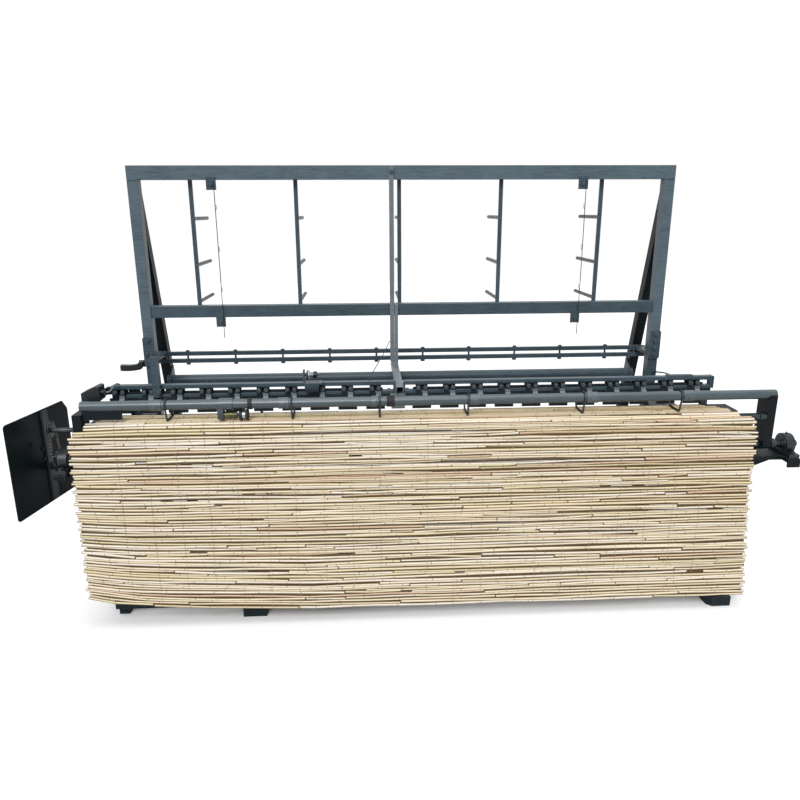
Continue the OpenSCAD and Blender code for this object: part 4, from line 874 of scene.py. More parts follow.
def stem_tree():
    tree, given, result = group("sweep stems", [("Wander", "Float", 0.003), ("Flat", "Float", 0.8),
                                                ("Sides", "Int", 8), ("Buried", "Float", 0.0),
                                                ("Finish", "Material", None)])
    lines = add(tree, "GeometryNodeMeshToCurve", {"Mesh": given.outputs["Geometry"]}).outputs["Curve"]
    place = add(tree, "GeometryNodeInputPosition").outputs[0]
    spot = add(tree, "ShaderNodeSeparateXYZ", {0: place})
    slow_x = sums(tree, "MULTIPLY", spot.outputs["X"], 3.2)
    row = sums(tree, "MULTIPLY", named(tree, "stem"), 7.3)
    where = add(tree, "ShaderNodeCombineXYZ", {"X": slow_x, "Y": row}).outputs[0]
    wave = add(tree, "ShaderNodeTexNoise", {"Vector": where, "Scale": 1.0, "Detail": 2.0}).outputs[0]
    amount = sums(tree, "MULTIPLY", sums(tree, "SUBTRACT", wave, 0.5), given.outputs["Wander"])
    across = named(tree, "across", "FLOAT_VECTOR")
    sideways = vector_math(tree, "SCALE", {0: across, "Scale": amount})
    bent = add(tree, "GeometryNodeSetPosition", {"Geometry": lines, "Offset": sideways}).outputs["Geometry"]
    cored = keep(tree, bent, "core", "FLOAT_VECTOR", place)
    ring = add(tree, "GeometryNodeCurvePrimitiveCircle", {"Resolution": given.outputs["Sides"],
                                                          "Radius": 1.0})
    swept = add(tree, "GeometryNodeCurveToMesh",
                {"Curve": cored, "Profile Curve": ring.outputs["Curve"], "Scale": named(tree, "girth"),
                 "Fill Caps": True}).outputs["Mesh"]
    # How far each point lies across its row; the material paints shade between the stems and a highlight on their upper
    # side from it.
    spread = vector_math(tree, "SUBTRACT", {0: place, 1: named(tree, "core", "FLOAT_VECTOR")})
    side = add(tree, "ShaderNodeVectorMath", {0: spread, 1: across}, operation="DOT_PRODUCT").outputs["Value"]
    side = sums(tree, "DIVIDE", side, named(tree, "girth"))
    out = named(tree, "out", "FLOAT_VECTOR")
    upward = add(tree, "ShaderNodeSeparateXYZ", {0: out}).outputs["Z"]
    # Less painted shade where the rows face up, on the table.
    side = sums(tree, "MULTIPLY", side, sums(tree, "MULTIPLY_ADD", upward, -0.45, 1.0))
    marked = keep(tree, swept, "flank", "FLOAT", sums(tree, "MULTIPLY_ADD", side, 0.5, 0.5))
    # The front half of each rear stem gets painted shade, standing in for the shadow of the stems in front of it.
    deep = add(tree, "ShaderNodeVectorMath", {0: spread, 1: out}, operation="DOT_PRODUCT").outputs["Value"]
    forward = sums(tree, "MULTIPLY_ADD", sums(tree, "DIVIDE", deep, named(tree, "girth")), 1.6, 0.7)
    buried = sums(tree, "MULTIPLY", forward, given.outputs["Buried"])
    hidden = keep(tree, marked, "buried", "FLOAT", buried)
    squeeze = sums(tree, "MULTIPLY", deep, sums(tree, "SUBTRACT", given.outputs["Flat"], 1.0))
    pressed = add(tree, "GeometryNodeSetPosition",
                  {"Geometry": hidden, "Offset": vector_math(tree, "SCALE", {0: out, "Scale": squeeze})})
    return close_tree(tree, given, result, pressed.outputs["Geometry"])


sweep_stems = stem_tree()
print("stem tree nodes", len(sweep_stems.nodes))

# %% [markdown]
# ## The colour of dry reed
#
# Each stem has its own tone from a ramp of cream, straw, green, brown and grey. Fine streaks run along
# it and its rings are darker. Painted shade darkens its cut ends, standing in for their hollow, and
# lies where it meets its neighbours, most on its lower side; the rear stems get painted shade on their
# front half. A painted highlight runs along the upper side of the pale stems, and the skin is smooth like wax, so it
# keeps a soft shine.

# %% Make the reed material
def reed_material():
    material, tree, surface = shader("dry reed")
    tone = ramp(tree, stored(tree, "tone"), [
        (0.00, (0.95, 0.87, 0.77)), (0.20, (0.92, 0.80, 0.58)), (0.40, (0.82, 0.66, 0.38)),
        (0.55, (0.60, 0.54, 0.24)), (0.70, (0.72, 0.50, 0.34)), (0.84, (0.44, 0.27, 0.12)),
        (1.00, (0.36, 0.33, 0.26))])
    streaks = cloud(tree, here(tree, (1.5, 60.0, 60.0)), 9.0, 4.0, 0.6)
    tone = mix(tree, ramp(tree, streaks, [(0.40, 0.0), (0.74, 0.50)]), tone, (0.50, 0.36, 0.18))
    weathered = cloud(tree, here(tree, (1.0, 22.0, 22.0)), 3.4, 3.0)
    tone = mix(tree, ramp(tree, weathered, [(0.50, 0.0), (0.74, 0.60)]), tone, (0.48, 0.36, 0.20))
    blotches = cloud(tree, here(tree, (1.0, 14.0, 14.0)), 11.0, 3.0)
    tone = mix(tree, ramp(tree, blotches, [(0.60, 0.0), (0.80, 0.50)]), tone, (0.30, 0.19, 0.10))
    # Painted highlight along the upper side of each pale stem.
    painted_highlight = ramp(tree, stored(tree, "flank"), [(0.12, 0.0), (0.34, 0.60), (0.58, 0.0)])
    pale = ramp(tree, stored(tree, "tone"), [(0.60, 1.0), (1.00, 0.0)])
    tone = mix(tree, sums(tree, "MULTIPLY", painted_highlight, pale), tone, (0.98, 0.93, 0.84))
    # Painted shade where each stem meets its neighbours, strongest on its lower side.
    painted_gap_shade = ramp(tree, stored(tree, "flank"), [(0.02, 0.85), (0.12, 0.25), (0.22, 0.0), (0.58, 0.0),
                                               (0.80, 0.52), (0.95, 1.0)])
    tone = mix(tree, painted_gap_shade, tone, (0.120, 0.068, 0.018))
    # Painted shade on the front half of the rear stems.
    tone = mix(tree, stored(tree, "buried"), tone, (0.095, 0.058, 0.022))
    tone = mix(tree, sums(tree, "MULTIPLY", stored(tree, "ring"), 0.70), tone, (0.15, 0.09, 0.04))
    # Painted shade at the cut ends, standing in for the dark hollow of each reed.
    tone = mix(tree, sums(tree, "MULTIPLY", stored(tree, "cut"), 0.85), tone, (0.06, 0.035, 0.015))
    tree.links.new(tone, surface.inputs["Base Color"])
    surface.inputs["Roughness"].default_value = 0.46
    surface.inputs["Specular IOR Level"].default_value = 0.35
    bumps(tree, surface, streaks, 0.35, 0.5 * MM)
    return material


dry_reed = reed_material()


def stem_lines(name, chosen, first_number):
    """Lines for the stem tree, with the attributes that it reads."""
    mesh = bpy.data.meshes.new(name)
    verts = [p[0] for points, *_ in chosen for p in points]
    edges = []
    start = 0
    for points, *_ in chosen:
        edges += [(start + k, start + k + 1) for k in range(len(points) - 1)]
        start += len(points)
    mesh.from_pydata(verts, edges, [])
    flat = [(number, tone, across, out, p)
            for number, (points, tone, across, out) in enumerate(chosen, first_number) for p in points]
    values = {"stem": [float(f[0]) for f in flat], "tone": [f[1] for f in flat],
              "girth": [f[4][1] for f in flat], "ring": [float(f[4][2]) for f in flat],
              "cut": [float(f[4][3]) for f in flat]}
    for label, numbers in values.items():
        mesh.attributes.new(label, "FLOAT", "POINT").data.foreach_set("value", numbers)
    for label, k in (("across", 2), ("out", 3)):
        numbers = [c for f in flat for c in f[k]]
        mesh.attributes.new(label, "FLOAT_VECTOR", "POINT").data.foreach_set("vector", numbers)
    return link(name, mesh)


def make_stems(name, chosen, first_number, wander, flat, sides, buried, stands_for=()):
    thing = run_tree(stem_lines(name + "_lines", chosen, first_number), sweep_stems,
                     {"Wander": wander, "Flat": flat, "Sides": sides, "Buried": buried, "Finish": dry_reed})
    thing = plain_copy(thing, name)
    print(name, "triangles", triangles(thing.data))
    return publish(thing, dry_reed, stands_for=stands_for, sharp=60)


make_stems("mat_reeds", stems[:front_stems], 0, 15 * MM, 0.80, 10, 0.0, ["mat"])
# The rear stems get painted shade on their front half.
make_stems("mat_rear_reeds", stems[front_stems:], 5000, 4 * MM, 0.55, 8, 1.0)

# %% [markdown]
# ## The binding
#
# Each knitting head lays one line of yarn that loops round every row. Seen from the front it is a thin
# thread that rises over each stem and dives between it and the next.

# %% Bind the rows with yarn
def yarn_line(x):
    """One line of yarn down the mat, over each row and into each gap."""
    points = []
    for i in range(row_count):
        for step, rise in ((0.08, 1.6), (0.30, 4.3), (0.70, 4.3), (0.92, 1.6)):
            along = (i + step) * ROW
            centre, across, out = row_frame(along)
            sway = 0.9 * MM * (1 if step < 0.5 else -1)
            spot = Vector((x + sway, 0, 0)) + centre + out * rise * MM
            spot.z += drawn_up(x, along)
            if row_end(along, -1) < x < row_end(along, 1):
                points.append(spot)
    return points


rods("mat_yarn", [(yarn_line(middle(h).x), 0.65 * MM) for h in heads], yarn, sides=5, smooth=False)

# %% [markdown]
# ## Presser pipe and hooks
#
# The pipe presses the newest rows down through six hooks. Each hook is bent from round bar: it hangs on
# the pipe, comes down in front and runs back along the mat with its tip raised. A black gusset stands
# under the pipe's left end.

# %% Dress the presser
pipe_low, pipe_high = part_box("presser_pipe")
PIPE_R = 17 * MM
pipe_z = pipe_high.z - PIPE_R
pipe_y = (pipe_low.y + pipe_high.y) / 2
dress("presser_pipe", pipe_paint, 1.2 * MM)


def side_of(node, start, direction):
    """Where a ray from a start point first meets a node."""
    tree = BVHTree.FromBMesh(merged(node))
    return tree.ray_cast(Vector(start), Vector(direction))[0]


gusset_high = pipe_z - PIPE_R + 0.5 * MM
gusset_right = side_of("presser_pipe", (0.0, pipe_y, pipe_low.z + 5 * MM), (-1, 0, 0)).x
gusset_left = side_of("presser_pipe", (-2.0, pipe_y, pipe_low.z + 5 * MM), (1, 0, 0)).x
gusset = bmesh.new()
block(gusset, (gusset_left, pipe_y - 5.4 * MM, pipe_low.z), (gusset_right + 0.3 * MM, pipe_y + 5.4 * MM, gusset_high))
piece("pipe_gusset", gusset, guard_paint)


def hook_path(low, high):
    """A hook from round the pipe to its raised tip, read from its solid's box."""
    x = (low.x + high.x) / 2
    bar = 3.4 * MM
    wrap = PIPE_R + bar
    turns = [math.radians(a) for a in range(-40, 231, 15)]
    points = [(x, pipe_y + wrap * math.cos(a), pipe_z + wrap * math.sin(a)) for a in turns]
    foot = low.z + bar + 0.3 * MM
    points += [(x, pipe_y - 9 * MM, foot + 22 * MM), (x, pipe_y - 4 * MM, foot + 6 * MM),
               (x, pipe_y + 3 * MM, foot), (x, pipe_y + 22 * MM, foot), (x, high.y - 24 * MM, foot),
               (x, high.y - 10 * MM, foot + 3 * MM), (x, high.y - 3 * MM, foot + 15 * MM)]
    return points, bar


rods("hooks", [hook_path(*pair) for pair in solids("presser_hooks")], dark_steel,
     stands_for=["presser_hooks"], sides=12, step=5 * MM)
tape = bmesh.new()
for start, end in ((-604, -590), (-130, -103)):
    turned(tape, [(start * MM, PIPE_R + 0.1 * MM), (start * MM, PIPE_R + 2.7 * MM),
                  (end * MM, PIPE_R + 2.7 * MM), (end * MM, PIPE_R + 0.1 * MM)],
           (pipe_y, pipe_z), ring=True)
piece("pipe_tape", tape, rubber)

# %% [markdown]
# ## Length counter and tensioner
#
# The counter hangs from the pipe. Its wheel has two rubber rims and rolls on the mat, and a brass
# sleeve covers its spindle. The tensioner on the beam presses the yarn between two discs.

# %% Dress the counter and the tensioner
counter = axes["counter_turn"]
house_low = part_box("counter_housing")[0]
dress("counter_housing", pipe_paint, 0.8 * MM, shade=lambda co: 1.0 if co.z < pipe_z - 15 * MM else 0.0)
sleeve = bmesh.new()
sleeve_x = house_low.x + 24 * MM
ridges = []
for k in range(9):
    ridges += [(sleeve_x + k * 4 * MM, 12.1 * MM), (sleeve_x + (k * 4 + 0.6) * MM, 12.9 * MM),
               (sleeve_x + (k * 4 + 3.2) * MM, 12.9 * MM)]
turned(sleeve, ridges, (pipe_y, counter.z))
piece("counter_sleeve", sleeve, olive_brass)
dress("counter_wheel", rubber, 1.2 * MM, "counter_wheel")
wheel_low, wheel_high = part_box("counter_wheel")
hub = bmesh.new()
turned(hub, [(wheel_low.x + 9 * MM, 13.0 * MM), (wheel_low.x + 10 * MM, 13.8 * MM),
             (wheel_high.x - 10 * MM, 13.8 * MM), (wheel_high.x - 9 * MM, 13.0 * MM),
             (wheel_high.x - 9 * MM, 11.0 * MM), (wheel_low.x + 9 * MM, 11.0 * MM)], (counter.y, counter.z), ring=True)
piece("counter_hub", hub, steel, "counter_wheel")

beam_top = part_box("beam_bars")[1].z
dress("tensioner_bracket", frame_paint, 0.8 * MM, shade=lambda co: 1.0 if co.z < beam_top - 1 * MM else 0.0)
knob_low, knob_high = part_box("tension_knob")
dress("tension_knob", steel, 0.7 * MM, "tension_knob",
      shade=lambda co: 1.0 if co.x < knob_low.x + 4 * MM or co.x > knob_high.x - 14 * MM else 0.0)
spring_run = knob_high.x - knob_low.x - 23 * MM
spring = []
for t in range(49):
    a = math.tau * t / 10
    spring.append((knob_low.x + 10 * MM + spring_run * t / 48, middle((knob_low, knob_high)).y + 9.2 * MM * math.cos(a),
                   middle((knob_low, knob_high)).z + 9.2 * MM * math.sin(a)))
rods("tension_spring", [(spring, 0.8 * MM)], steel, "tension_knob",
     sides=6, step=2 * MM)

# %% [markdown]
# ## Wires and cable
#
# Thin things say much about scale. The two guide wires carry small loops for the yarn, a tie wire
# steadies the centre, and a short cable runs from the switch to the beam.

# %% Bend the wires
wires = [pair for pair in solids("guide_wires") if pair[1].z > 1.2]
tie_low, tie_high = [pair for pair in solids("guide_wires") if pair[1].z < 1.2][0]
paths = []
for low, high in wires:
    x, y = (low.x + high.x) / 2, high.y - 2.5 * MM
    side = -1 if x > 0 else 1
    paths.append(([(x, y, low.z), (x + 1 * MM, y, low.z + 0.25), (x, y, high.z)], 1.5 * MM))
    for drop in (86, 236, 386):
        z = high.z - drop * MM
        bends = ((-1, 0, 2), (2, -3, 3), (5, -5, 1), (5.5, -6, -14), (4, -5, -20), (0, -3, -19))
        paths.append(([(x + side * a * MM, y + b * MM, z + c * MM) for a, b, c in bends], 1.1 * MM))
tie = [Vector(tie_high) - Vector((1.5, 1.5, 1.5)) * MM, Vector(tie_high) + Vector((-32.5, -103.5, -36.5)) * MM,
       Vector(tie_low) + Vector((24.5, 69.5, 28)) * MM, Vector(tie_low) + Vector((1.5, 1.5, 1.5)) * MM]
paths.append((tie, 1.5 * MM))
rods("wires", paths, dark_steel, stands_for=["guide_wires"], sides=8, step=9 * MM)

cable_low, cable_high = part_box("switch_cable")
cable_start = Vector((cable_low.x, cable_low.y + 3 * MM, cable_low.z + 3 * MM))
cable_steps = ((0, 0, 0), (7, 0, 0), (14, 2, 4), (21, 10, 14), (26, 24, 21), (28, 40, 19), (28, 52, 13.5))
cable = [cable_start + Vector(step) * MM for step in cable_steps]
rods("switch_lead", [(cable, 3 * MM)], cable_skin, stands_for=["switch_cable"],
     sides=12, step=3 * MM)

# %% [markdown]
# ## Chains and sprockets
#
# The solids hold each chain as a plain band round its two sprockets. A real one is made of pins at
# equal steps along that band, with plates in turn outside and inside. The number of pins follows from
# the pitch, and both sprockets have the same size, so the path is two straights and two half circles.

# %% Lay the links along the chains
PITCH = 12.7 * MM
TEETH = 14
PITCH_R = PITCH / (2 * math.sin(math.pi / TEETH))


def yz(point):
    return Vector((point.y, point.z))


def chain_pins(lower, upper):
    """Pins on straight, arc, straight and arc between two sprocket centres, as Y and Z."""
    line = upper - lower
    links = round(line.length / PITCH)
    ahead = line.normalized()
    side = Vector((ahead.y, -ahead.x))
    turns = [math.tau * k / TEETH for k in range(TEETH // 2)]
    up = [lower + side * PITCH_R + ahead * PITCH * k for k in range(links)]
    over = [upper + PITCH_R * (side * math.cos(a) + ahead * math.sin(a)) for a in turns]
    down = [upper - side * PITCH_R - ahead * PITCH * k for k in range(links)]
    under = [lower - PITCH_R * (side * math.cos(a) + ahead * math.sin(a)) for a in turns]
    return up + over + down + under


def link_plate(bm, x0, x1, radius, waist):
    """One side plate, as long as the pitch, pointing up along Z."""
    outline = []
    for centre, start in ((-PITCH / 2, 180), (PITCH / 2, 0)):
        for k in range(9):
            a = math.radians(start + k * 22.5)
            outline.append((radius * math.cos(a), centre + radius * math.sin(a)))
        outline.append((waist if start == 180 else -waist, 0.0))
    pushed(bm, outline, x0, x1)


def plates_shape(inner, outer, pin_end=0):
    bm = bmesh.new()
    for side in (-1, 1):
        link_plate(bm, side * inner, side * outer, 3.8 * MM, 2.9 * MM)
        for end in (-1, 1) if pin_end else ():
            turned(bm, [(side * (outer - 0.2 * MM), 1.7 * MM), (side * pin_end, 1.5 * MM)],
                   (0, end * PITCH / 2), sides=10)
    return shape_of(bm)


def dress_chain(name, node, lower, upper):
    x = middle(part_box(node)).x
    pins = chain_pins(lower, upper)
    links = []
    for k, a in enumerate(pins):
        b = pins[(k + 1) % len(pins)]
        angle = math.atan2(b.y - a.y, b.x - a.x)
        links.append((Vector((x, (a.x + b.x) / 2, (a.y + b.y) / 2)), angle))
    for part, chosen, shape in (("outer", links[::2], (2.5 * MM, 3.3 * MM, 4.0 * MM)),
                                ("inner", links[1::2], (1.5 * MM, 2.3 * MM))):
        bm = bmesh.new()
        master = plates_shape(*shape).data
        for spot, angle in chosen:
            start = len(bm.verts)
            bm.from_mesh(master)
            bm.verts.ensure_lookup_table()
            turn = Matrix.Translation(spot) @ Matrix.Rotation(angle - math.pi / 2, 4, "X")
            bmesh.ops.transform(bm, matrix=turn, verts=bm.verts[start:])
        bpy.data.objects.remove(bpy.data.objects["shape"])
        piece(f"{name}_{part}", bm, chain_steel, stands_for=[node] if part == "outer" else ())
    rollers = bmesh.new()
    for pin in pins:
        if min((pin - lower).length, (pin - upper).length) > 35 * MM:
            turned(rollers, [(x - 1.4 * MM, 3.4 * MM), (x + 1.4 * MM, 3.4 * MM)], (pin.x, pin.y), sides=12)
    piece(name + "_rollers", rollers, chain_steel)
    print(name, "pins", len(pins))


main_axis, roller_axis = axes["main_shaft_turn"], axes["roller_turn"]
crank_axis, motor_axis = axes["crank_turn"], axes["motor_turn"]
dress_chain("roller_links", "roller_chain", yz(main_axis), yz(roller_axis))
dress_chain("drive_links", "drive_chain", yz(crank_axis), yz(main_axis))

# %% Dress the shafts
def tooth_ring(bm, x, centre, towards):
    """A thin ring of teeth that runs between the chain's plates, and the bolts of its hub."""
    line = towards - centre
    first_pin = math.atan2(-line.x, line.y)
    outline = []
    for k in range(TEETH * 6):
        a = first_pin + math.tau * (k - 0.5) / (TEETH * 6)
        reach = (24.0, 24.6, 28.0, 31.0, 28.0, 24.6)[k % 6] * MM
        outline.append((centre.x + reach * math.cos(a), centre.y + reach * math.sin(a)))
    pushed(bm, outline, x - 1.1 * MM, x + 1.1 * MM)
    for k in range(5):
        a = math.tau * k / 5
        turned(bm, [(x - 4.6 * MM, 2.6 * MM), (x + 4.6 * MM, 2.6 * MM)],
               (centre.x + 18.5 * MM * math.cos(a), centre.y + 18.5 * MM * math.sin(a)), sides=12)


chain_x = {name: middle(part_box(name)).x for name in ("roller_chain", "drive_chain")}
sprockets = {"main_shaft": [("roller_chain", main_axis, roller_axis), ("drive_chain", main_axis, crank_axis)],
             "draw_roller": [("roller_chain", roller_axis, main_axis)],
             "crank": [("drive_chain", crank_axis, main_axis)]}
for body, rings in sprockets.items():
    bm = bmesh.new()
    for chain, axis, other in rings:
        tooth_ring(bm, chain_x[chain], yz(axis), yz(other))
    piece(body + "_teeth", bm, chain_steel, body)
dress("main_shaft", dark_steel, 0.8 * MM, "main_shaft")
dress("draw_roller", dark_steel, 0.8 * MM, "draw_roller")
dress("crank_shaft", steel, 0.8 * MM, "crank")
dress("connecting_rod", steel, 1.0 * MM, "connecting_rod")
dress("needle_shaft", steel, 0.8 * MM, "needle_rocker")
dress("needles", bright_steel, 0.5 * MM, "needle_rocker")
print("shafts dressed")

# %% [markdown]
# ## Pillow blocks
#
# A pillow block is an iron casting: a foot with two bolts, a round housing that swells out of it, and
# a steel insert whose collar is locked to the shaft. A grease nipple sits on its crown.

# %% Cast the pillow blocks
dress("pillow_blocks", cast_iron, 1.5 * MM)
inserts, fittings = bmesh.new(), bmesh.new()
BORE = 12.8 * MM
for low, high in solids("pillow_blocks"):
    for side in (-1, 1):
        face = (high.x if side > 0 else low.x) - side * 3 * MM
        turned(inserts, [(face - side * 2 * MM, BORE), (face - side * 2 * MM, 29 * MM), (face + side * 1 * MM, 28 * MM),
                         (face + side * 1 * MM, 22 * MM), (face + side * 0.4 * MM, 21 * MM),
                         (face + side * 0.4 * MM, 18.6 * MM), (face + side * 4.5 * MM, 18 * MM),
                         (face + side * 4.5 * MM, BORE)], yz(main_axis), ring=True)
    turned(fittings, [(high.z - 1 * MM, 4 * MM), (high.z + 2 * MM, 4 * MM), (high.z + 2 * MM, 2.4 * MM),
                      (high.z + 4 * MM, 2.4 * MM), (high.z + 5 * MM, 3 * MM), (high.z + 6 * MM, 1.8 * MM)],
           ((low.x + high.x) / 2, main_axis.y), "z", 12)
piece("bearing_inserts", inserts, dark_steel)
piece("grease_nipples", fittings, dark_steel)
print("pillow blocks", len(solids("pillow_blocks")))

# %% [markdown]
# ## The drive
#
# Behind the mat a motor drives a reduction gearbox through a V-belt. The motor's plain cylinder is
# rebuilt with cooling fins, end shields, a fan cover with slots and a terminal box. The gearbox keeps
# its block and gets ribs, covers with screws and a filler plug.

# %% Build the motor
motor_low, motor_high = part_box("motor")
MOTOR_R = 65 * MM
CORE_R = MOTOR_R - 8 * MM
x0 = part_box("motor_pulley")[1].x - 28 * MM
x1 = motor_high.x - 20 * MM
plate_top = motor_low.z + 10 * MM
centre = yz(motor_axis)
motor = bmesh.new()
profile = [(30, 10.3, 0), (0, 10.3, 0), (0, 30, 0), (4, 59, 0), (6, 63, 0), (16, 63, 0), (18, 57, 0),
           (-44, 57, 1), (-42, 63, 1), (-32, 63, 1), (-30, 64, 1), (-4, 64, 1), (6, 57, 1), (13, 41, 1),
           (13.8, 8, 1)]
turned(motor, [((x1 if far else x0) + along * MM, radius * MM) for along, radius, far in profile], centre, sides=64)
block(motor, motor_low, (motor_high.x, motor_high.y, plate_top), 1.2 * MM)
feet = [(x0 + 34 * MM, x0 + 60 * MM), (x1 - 76 * MM, x1 - 50 * MM)]
for a, b in feet:
    block(motor, (a, centre.x - 60 * MM, plate_top), (b, centre.x + 60 * MM, plate_top + 12 * MM), 1.5 * MM)
    block(motor, (a + 5 * MM, centre.x - 34 * MM, plate_top + 10 * MM), (b - 5 * MM, centre.x + 34 * MM, centre.y - 40 * MM))
block(motor, (x0 + 62 * MM, centre.x - 28 * MM, centre.y + CORE_R - 8 * MM),
      (x0 + 128 * MM, centre.x + 28 * MM, motor_high.z - 5 * MM), 2 * MM)
block(motor, (x0 + 60 * MM, centre.x - 30 * MM, motor_high.z - 6 * MM),
      (x0 + 130 * MM, centre.x + 30 * MM, motor_high.z), 1.5 * MM)
piece("motor_body", motor, drive_paint, stands_for=["motor"])


def bar_shape(length, width, height, radius=0.6 * MM):
    bm = bmesh.new()
    block(bm, (-length / 2, -width / 2, -1 * MM), (length / 2, width / 2, height), radius)
    return shape_of(bm)


fin_x = (x0 + 18 * MM + x1 - 44 * MM) / 2
fins = bmesh.new()
for k in range(44):
    a = math.tau * k / 44
    if math.sin(a) > -0.80 and not (math.sin(a) > 0.87):
        start = len(fins.verts)
        block(fins, (x0 + 17 * MM, -1.1 * MM, CORE_R - 1 * MM), (x1 - 43 * MM, 1.1 * MM, MOTOR_R - 1 * MM), 0.6 * MM)
        fins.verts.ensure_lookup_table()
        turn = Matrix.Translation((0, centre.x, centre.y)) @ Matrix.Rotation(a - math.pi / 2, 4, "X")
        bmesh.ops.transform(fins, matrix=turn, verts=fins.verts[start:])
piece("motor_fins", fins, drive_paint)
fan = [((x1 + 12.6 * MM, centre.x + 25 * MM * math.cos(math.tau * k / 16),
         centre.y + 25 * MM * math.sin(math.tau * k / 16)), (1, 0, 0), 0.0) for k in range(16)]
scatter("fan_slots", bar_shape(9 * MM, 9 * MM, 1.6 * MM, 2.5 * MM), fan, rubber)

# %% Dress the gearbox, pulleys and belt
dress("gearbox", drive_paint, 3.0 * MM)
gear_low, gear_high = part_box("gearbox")
gear_top = gear_high.z
case = bmesh.new()
for side in (-1, 1):
    face = (gear_high.x - 2 * MM) if side > 0 else (gear_low.x + 2 * MM)
    turned(case, [(face - side * 1 * MM, 41 * MM), (face - side * 1 * MM, 56 * MM), (face + side * 1.6 * MM, 55 * MM),
                  (face + side * 1.6 * MM, 41 * MM)], yz(crank_axis), sides=48, ring=True)
for k in range(5):
    y = gear_low.y + (14 + 24 * k) * MM
    block(case, (gear_low.x + 6 * MM, y - 2 * MM, gear_top - 2 * MM), (gear_high.x - 6 * MM, y + 2 * MM, gear_top + 2.6 * MM))
turned(case, [(gear_top - 1 * MM, 9 * MM), (gear_top + 4 * MM, 9 * MM), (gear_top + 9 * MM, 6 * MM),
              (gear_top + 10 * MM, 4 * MM)], (gear_low.x + 26 * MM, crank_axis.y + 12 * MM), "z", 20)
piece("gearbox_details", case, drive_paint)
screws = []
for side in (-1, 1):
    face = (gear_high.x - 0.6 * MM) if side > 0 else (gear_low.x + 0.6 * MM)
    for k in range(6):
        a = math.tau * (k + 0.5) / 6
        screws.append(((face, crank_axis.y + 49.5 * MM * math.cos(a), crank_axis.z + 49.5 * MM * math.sin(a)),
                       (side, 0, 0), a))
screws += [(((a + b) / 2, centre.x + side * 48 * MM, plate_top + 12 * MM), (0, 0, 1), 0.3)
           for a, b in feet for side in (-1, 1)]
scatter("drive_bolts", bolt_shape(5.6 * MM, 4.2 * MM, 6.4 * MM), screws, steel)
dress("gearbox_pulley", dark_steel, 0.8 * MM, "gearbox_input")
dress("motor_pulley", dark_steel, 0.8 * MM, "motor_rotor")
dress("v_belt", rubber, 0.8 * MM)
print("drive dressed")

# %% [markdown]
# ## Lever, skirt and welds
#
# A narrow dark skirt closes the space between the hangers just under the beam. Weld beads close the
# joints of the creel: a bead is a row of small overlapping ripples, so its thickness goes up and down
# every few millimetres.

# %% Dress the lever, hang the skirt and run the welds
dress("clutch_lever", plastic, 3.0 * MM, "clutch_lever")
skirt = bmesh.new()
beam_low, beam_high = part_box("beam_bars")
centre_low, centre_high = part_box("centre_tube")
for a, b in ((beam_low.x, centre_low.x), (centre_high.x, beam_high.x)):
    block(skirt, (a + 2 * MM, beam_low.y + 1.5 * MM, beam_low.z - 24 * MM), (b - 2 * MM, beam_low.y + 5 * MM, beam_low.z + 1 * MM))
    block(skirt, (a + 30 * MM, beam_low.y + 9 * MM, beam_low.z + 8 * MM), (b - 30 * MM, beam_low.y + 16 * MM, beam_low.z + 20 * MM))
piece("beam_skirt", skirt, dark_paint)


def bead(start, end, size=2.4 * MM):
    """A weld from one point to another."""
    start, end = Vector(start), Vector(end)
    count = max(3, int((end - start).length / (2.4 * MM)))
    points = [start.lerp(end, k / count) for k in range(count + 1)]
    return points, [size * (0.82 + 0.30 * (k % 2) + rng.uniform(-0.08, 0.08)) for k in range(count + 1)]


def frame_welds():
    beads = []
    top_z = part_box("creel_top_rail")[0].z
    mid_low, mid_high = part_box("creel_mid_rail")
    for low, high in solids("creel_posts"):
        inner = high.x if high.x < 0 else low.x
        for y in (low.y, high.y):
            beads += [bead((low.x + 4 * MM, y, top_z), (high.x - 4 * MM, y, top_z)),
                      bead((inner, y, mid_low.z + 4 * MM), (inner, y, mid_high.z - 4 * MM))]
        beads += [bead((inner, low.y + 4 * MM, z), (inner, high.y - 4 * MM, z)) for z in (mid_low.z, mid_high.z)]
    for low, high in solids("lower_posts") + solids("front_legs"):
        beads += [bead((low.x + 4 * MM, y, low.z), (high.x - 4 * MM, y, low.z)) for y in (low.y, high.y)]
        beads += [bead((x, low.y + 4 * MM, low.z), (x, high.y - 4 * MM, low.z)) for x in (low.x, high.x)]
    return beads


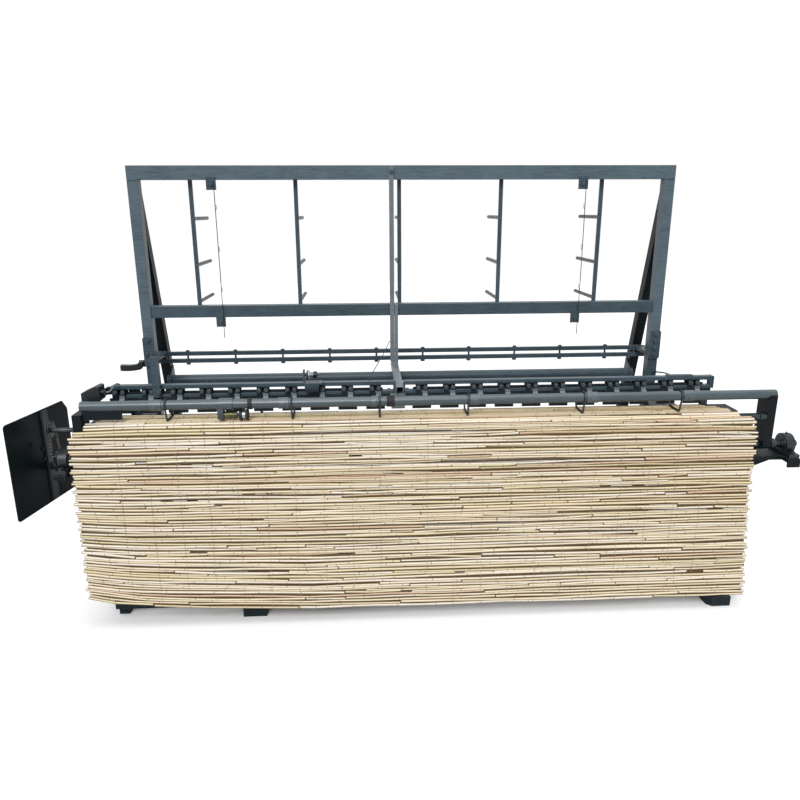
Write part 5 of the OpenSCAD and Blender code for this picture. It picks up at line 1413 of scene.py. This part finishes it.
rods("weld_beads", frame_welds(), frame_paint, sides=6, smooth=False)

# %% [markdown]
# ## Floor and light
#
# The floor and the surround are pale and plain. Both are white where the camera, a mirror or glass
# looks at them, but light the machine at a lower level, so the paint keeps its depth. A broad lamp from
# the front gives the soft direction that shows on the pipe and on the top faces.

# %% Make the floor and the light
def seen_directly(tree):
    """One where the camera or a clear reflection looks, and zero for other light."""
    path = add(tree, "ShaderNodeLightPath")
    seen = sums(tree, "MAXIMUM", path.outputs["Is Camera Ray"], path.outputs["Is Glossy Ray"])
    return sums(tree, "MAXIMUM", seen, path.outputs["Is Transmission Ray"])


def make_floor(bounce=0.20):
    bm = bmesh.new()
    bmesh.ops.create_grid(bm, x_segments=1, y_segments=1, size=12.0)
    floor = from_bmesh("studio_floor", bm)
    material, tree, surface = shader("pale floor")
    tone = mix(tree, seen_directly(tree), (bounce, bounce, bounce), (0.98, 0.98, 0.98))
    tree.links.new(tone, surface.inputs["Base Color"])
    surface.inputs["Roughness"].default_value = 0.9
    surface.inputs["Specular IOR Level"].default_value = 0.0
    floor.data.materials.append(material)


def make_world(light=0.44):
    world = bpy.data.worlds.new("pale surround")
    bpy.context.scene.world = world
    world.use_nodes = True
    tree = world.node_tree
    tree.nodes.clear()
    level = sums(tree, "MULTIPLY_ADD", seen_directly(tree), 1.0 - light, light)
    glow = add(tree, "ShaderNodeBackground", {"Color": (1, 1, 1, 1), "Strength": level})
    add(tree, "ShaderNodeOutputWorld", {"Surface": glow.outputs["Background"]})


def make_lamp(name, strength, tip, turn, softness):
    data = bpy.data.lights.new(name, "SUN")
    data.energy = strength
    data.angle = math.radians(softness)
    lamp = bpy.data.objects.new(name, data)
    lamp.rotation_euler = (math.radians(tip), 0, math.radians(turn))
    bpy.context.scene.collection.objects.link(lamp)


make_floor()
make_world()
make_lamp("key_lamp", 2.2, 50, -14, 30)
make_lamp("top_lamp", 1.0, 10, 20, 40)
bpy.context.scene.view_settings.view_transform = "Standard"
print("floor, surround and lamp made")
